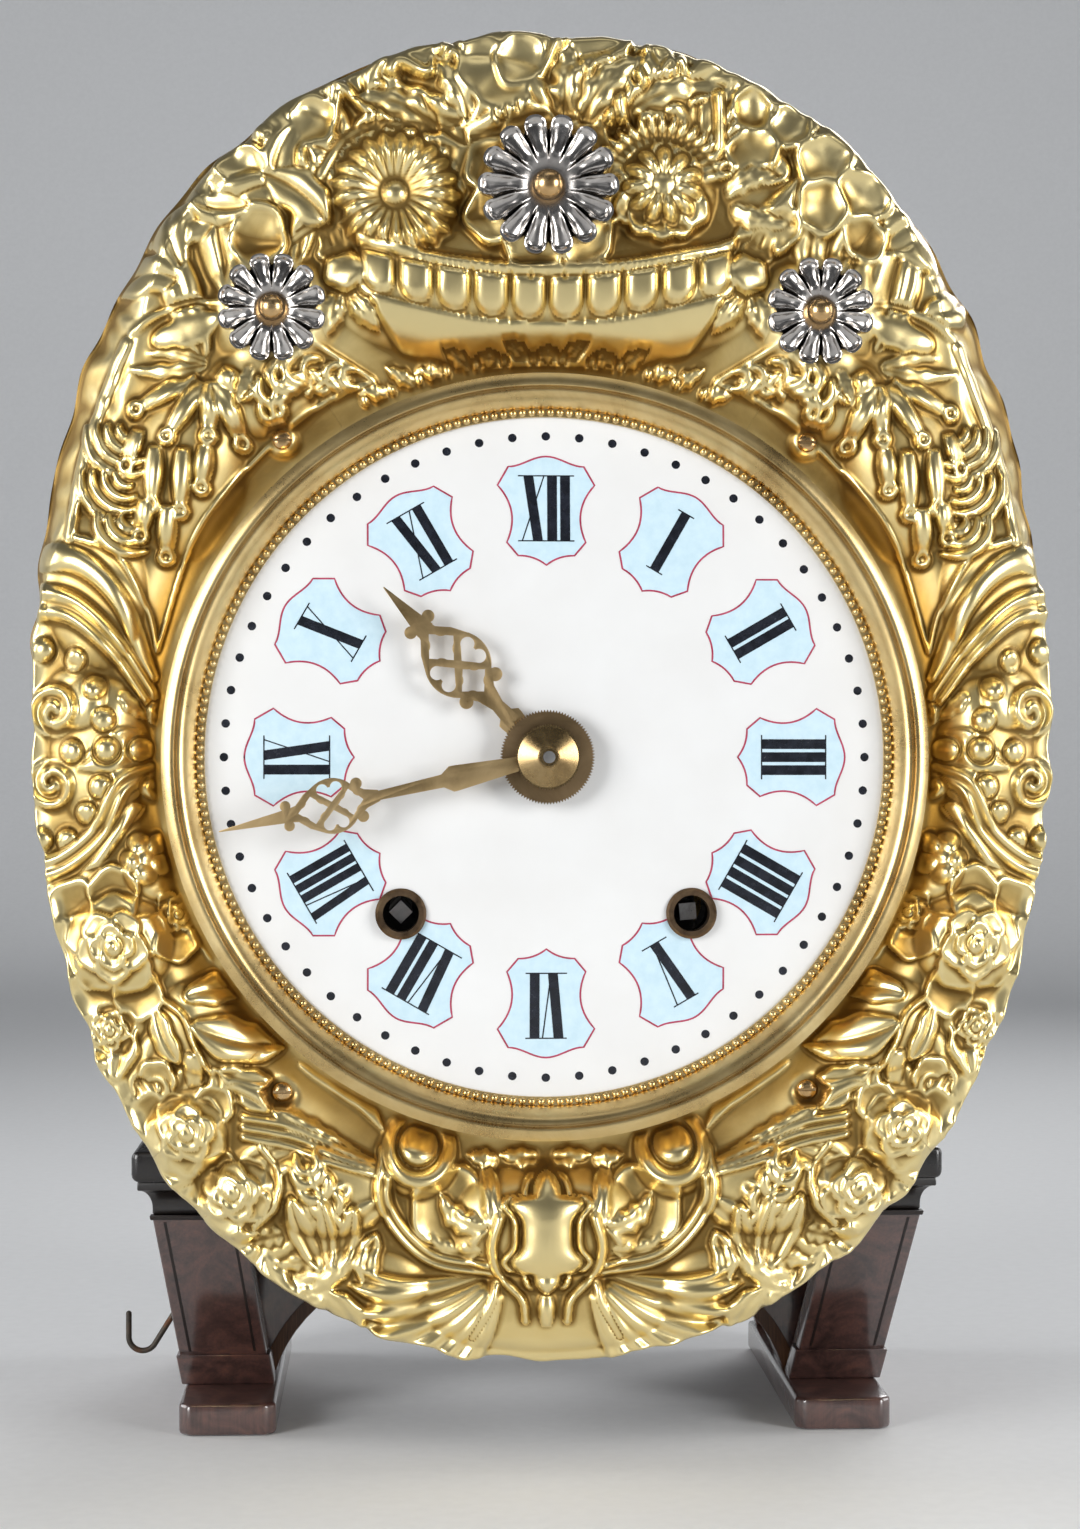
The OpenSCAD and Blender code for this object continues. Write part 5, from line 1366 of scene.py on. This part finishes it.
def dome_stud(name, across, up, seat, r):
    base, tall = seat - STUD_SEAT, 1.0 + 0.8 * r
    rows = [(0.0, base), (r, base), (r, base - STUD_RIM)]
    for k in range(1, STUD_ROWS + 1):
        a = math.pi / 2.0 * k / STUD_ROWS
        rows.append((r * math.cos(a), base - STUD_RIM - (tall - STUD_RIM) * math.sin(a)))
    return turned(name, rows, across, DIAL_UP + up, STUD_STEPS, False)


studs = [dome_stud("rosette_stud_domes", *LARGE_AT, LARGE_SEAT, LARGE_STUD_R)]
for out in (-SMALL_OUT, SMALL_OUT):
    studs.append(dome_stud("small_stud_dome", out, SMALL_UP, SMALL_SEAT, SMALL_STUD_R))
fitted(joined(*studs), copper_brass, stands_for=["rosette_studs"], corner=50)


# Hands: two pierced brass hands sawn from sheet and filed, dull from age. The hour hand rides on
# the hour disc and the minute hand under the milled collet at the end of the minute arbor.
COLLET_BACK = -17.2
COLLET_R = 11.0
COLLET_TALL = 6.0
COLLET_TEETH = 76
TOOTH_DEEP = 0.7
ARBOR_CUT = 2.05
HAND_WEAR = 0.2

hand_brass = metal("hand_brass_dull", ((0.40, 0.27, 0.12), (0.58, 0.41, 0.20), (0.68, 0.50, 0.26)),
                   (0.26, 0.44), 40.0, 1100.0, 0.02)
for node, body in (("hour_hand", "hour_work"), ("minute_hand", "minute_work")):
    refinished(node, node + "_filed", hand_brass, HAND_WEAR, 2, body)
disc_brass = metal("milled_disc_brass", ((0.19, 0.13, 0.065), (0.28, 0.19, 0.10), (0.36, 0.25, 0.135)),
                   (0.3, 0.5), 45.0, 1200.0, 0.02)
collet_brass = metal("collet_brass_turned", ((0.22, 0.145, 0.065), (0.36, 0.25, 0.115), (0.46, 0.33, 0.165)),
                     (0.2, 0.36), 60.0, 1300.0, 0.02)
dressed(disc_brass, "hour_disc")

milled = started("minute_collet_turned", bpy.ops.mesh.primitive_cylinder_add, vertices=2 * COLLET_TEETH,
                 radius=COLLET_R * MM, depth=1.0 * MM, location=metres(0.0, COLLET_BACK - 0.5, DIAL_UP),
                 rotation=FACING)
bpy.ops.object.transform_apply(location=True, rotation=True, scale=True)
for corner in milled.data.vertices:
    across, up = corner.co.x, corner.co.z - DIAL_UP * MM
    if round(math.atan2(up, across) / (math.pi / COLLET_TEETH)) % 2:
        corner.co.x = across * (1.0 - TOOTH_DEEP / COLLET_R)
        corner.co.z = DIAL_UP * MM + up * (1.0 - TOOTH_DEEP / COLLET_R)
drilled(milled, 0.0, DIAL_UP, ARBOR_CUT)
cone = [(ARBOR_CUT, 0.5), (COLLET_R - 0.9, 0.5), (COLLET_R - 0.9, 1.2), (COLLET_R - 1.1, 1.3)]
cone += [(4.1, 4.3), (3.6, 4.6), (3.45, COLLET_TALL - 0.2), (3.25, COLLET_TALL), (2.75, COLLET_TALL)]
cone += [(2.55, COLLET_TALL - 0.2), (2.5, 4.8), (ARBOR_CUT, 4.8)]
hub = turned("collet_hub", [(r, COLLET_BACK - proud) for r, proud in cone], steps=96)
fitted(joined(milled, hub), collet_brass, "minute_work", ["minute_collet"], corner=30)


# Studio: a round floor of pale paper turned up into a wall on all sides. Two tall soft lamps stand
# in front at the height of the dial, weaker ones beside, above and behind the clock, and one lights
# the wall. The camera stands in front of the dial.
EYE = metres(-48.0, -999.0, 244.0)
AIM = metres(-1.9, 0.0, 241.5)
LENS = 69.5
FLOOR_R = 2.6
FLOOR_DROP = 0.0002
TURN_R = 0.7
TURN_STEPS = 14
WALL_TALL = 0.9
LAMP_SPREAD = math.radians(100.0)

paper, tree, shader = finish_for("seamless_paper")
fibre = noise(tree, put(tree, "ShaderNodeTexCoord").outputs["Object"], 180.0, 3.0)
coloured(tree, fibre, (0.3, (0.84, 0.85, 0.86)), (0.7, (0.87, 0.88, 0.89)))
roughened(tree, fibre, 0.8, 0.95)

studio = started("studio_floor", bpy.ops.mesh.primitive_circle_add, vertices=128, radius=FLOOR_R,
                 fill_type="NGON", location=(0.0, 0.0, -FLOOR_DROP))
bpy.ops.object.transform_apply(location=True)
opened(studio)
bpy.ops.mesh.select_mode(type="EDGE")
bpy.ops.mesh.region_to_loop()
for k in range(TURN_STEPS + 1):
    bend = math.pi / 2.0 * min(k + 1, TURN_STEPS) / TURN_STEPS
    before = math.pi / 2.0 * min(k, TURN_STEPS) / TURN_STEPS
    wider = 1.0 + TURN_R * (math.sin(bend) - math.sin(before)) / (FLOOR_R + TURN_R * math.sin(before))
    rise = TURN_R * (math.cos(before) - math.cos(bend)) if k < TURN_STEPS else WALL_TALL
    bpy.ops.mesh.extrude_region_move(TRANSFORM_OT_translate={"value": (0.0, 0.0, rise)})
    bpy.ops.transform.resize(value=(wider, wider, 1.0), center_override=(0.0, 0.0, 0.0))
bpy.ops.object.mode_set(mode="OBJECT")
bpy.ops.object.shade_smooth_by_angle(angle=math.radians(40.0))
studio.data.materials.append(paper)


def aimed(name, data, place, aim):
    holder = linked(name, data)
    holder.location = place
    holder.rotation_euler = (aim - Vector(place)).to_track_quat("-Z", "Y").to_euler()
    return holder


def soft_lamp(name, place, wide, tall, watts, aim=AIM):
    lamp = bpy.data.lights.new(name, "AREA")
    lamp.shape = "RECTANGLE"
    lamp.size, lamp.size_y = wide, tall
    lamp.energy = watts
    lamp.spread = LAMP_SPREAD
    aimed(name, lamp, place, aim).visible_camera = False


soft_lamp("key_lamp", (-1.6, -1.45, 0.62), 0.95, 1.1, 10.6)
soft_lamp("side_lamp", (1.65, -1.4, 0.6), 0.8, 1.1, 8.8)
soft_lamp("left_lamp", (-1.75, 0.25, 0.65), 0.9, 1.1, 4.0)
soft_lamp("right_lamp", (1.75, 0.25, 0.65), 0.75, 1.1, 3.4)
soft_lamp("top_lamp", (0.1, -0.45, 1.45), 1.0, 0.3, 0.25)
soft_lamp("back_lamp", (0.7, 1.9, 1.2), 1.3, 0.9, 5.0)
soft_lamp("wall_lamp", (0.0, 1.5, 2.3), 3.0, 0.6, 6.0, aim=Vector((0.0, 3.3, 0.5)))

world = bpy.data.worlds.new("studio_room")
world.use_nodes = True
tuned(world.node_tree.nodes["Background"], {"Color": (0.27, 0.28, 0.30, 1.0), "Strength": 0.34})
bpy.context.scene.world = world

view = bpy.data.cameras.new("photo_camera")
view.lens = LENS
view.sensor_fit = "VERTICAL"
view.sensor_height = 36.0
view.clip_start = 0.05
bpy.context.scene.camera = aimed("photo_camera", view, EYE, AIM)
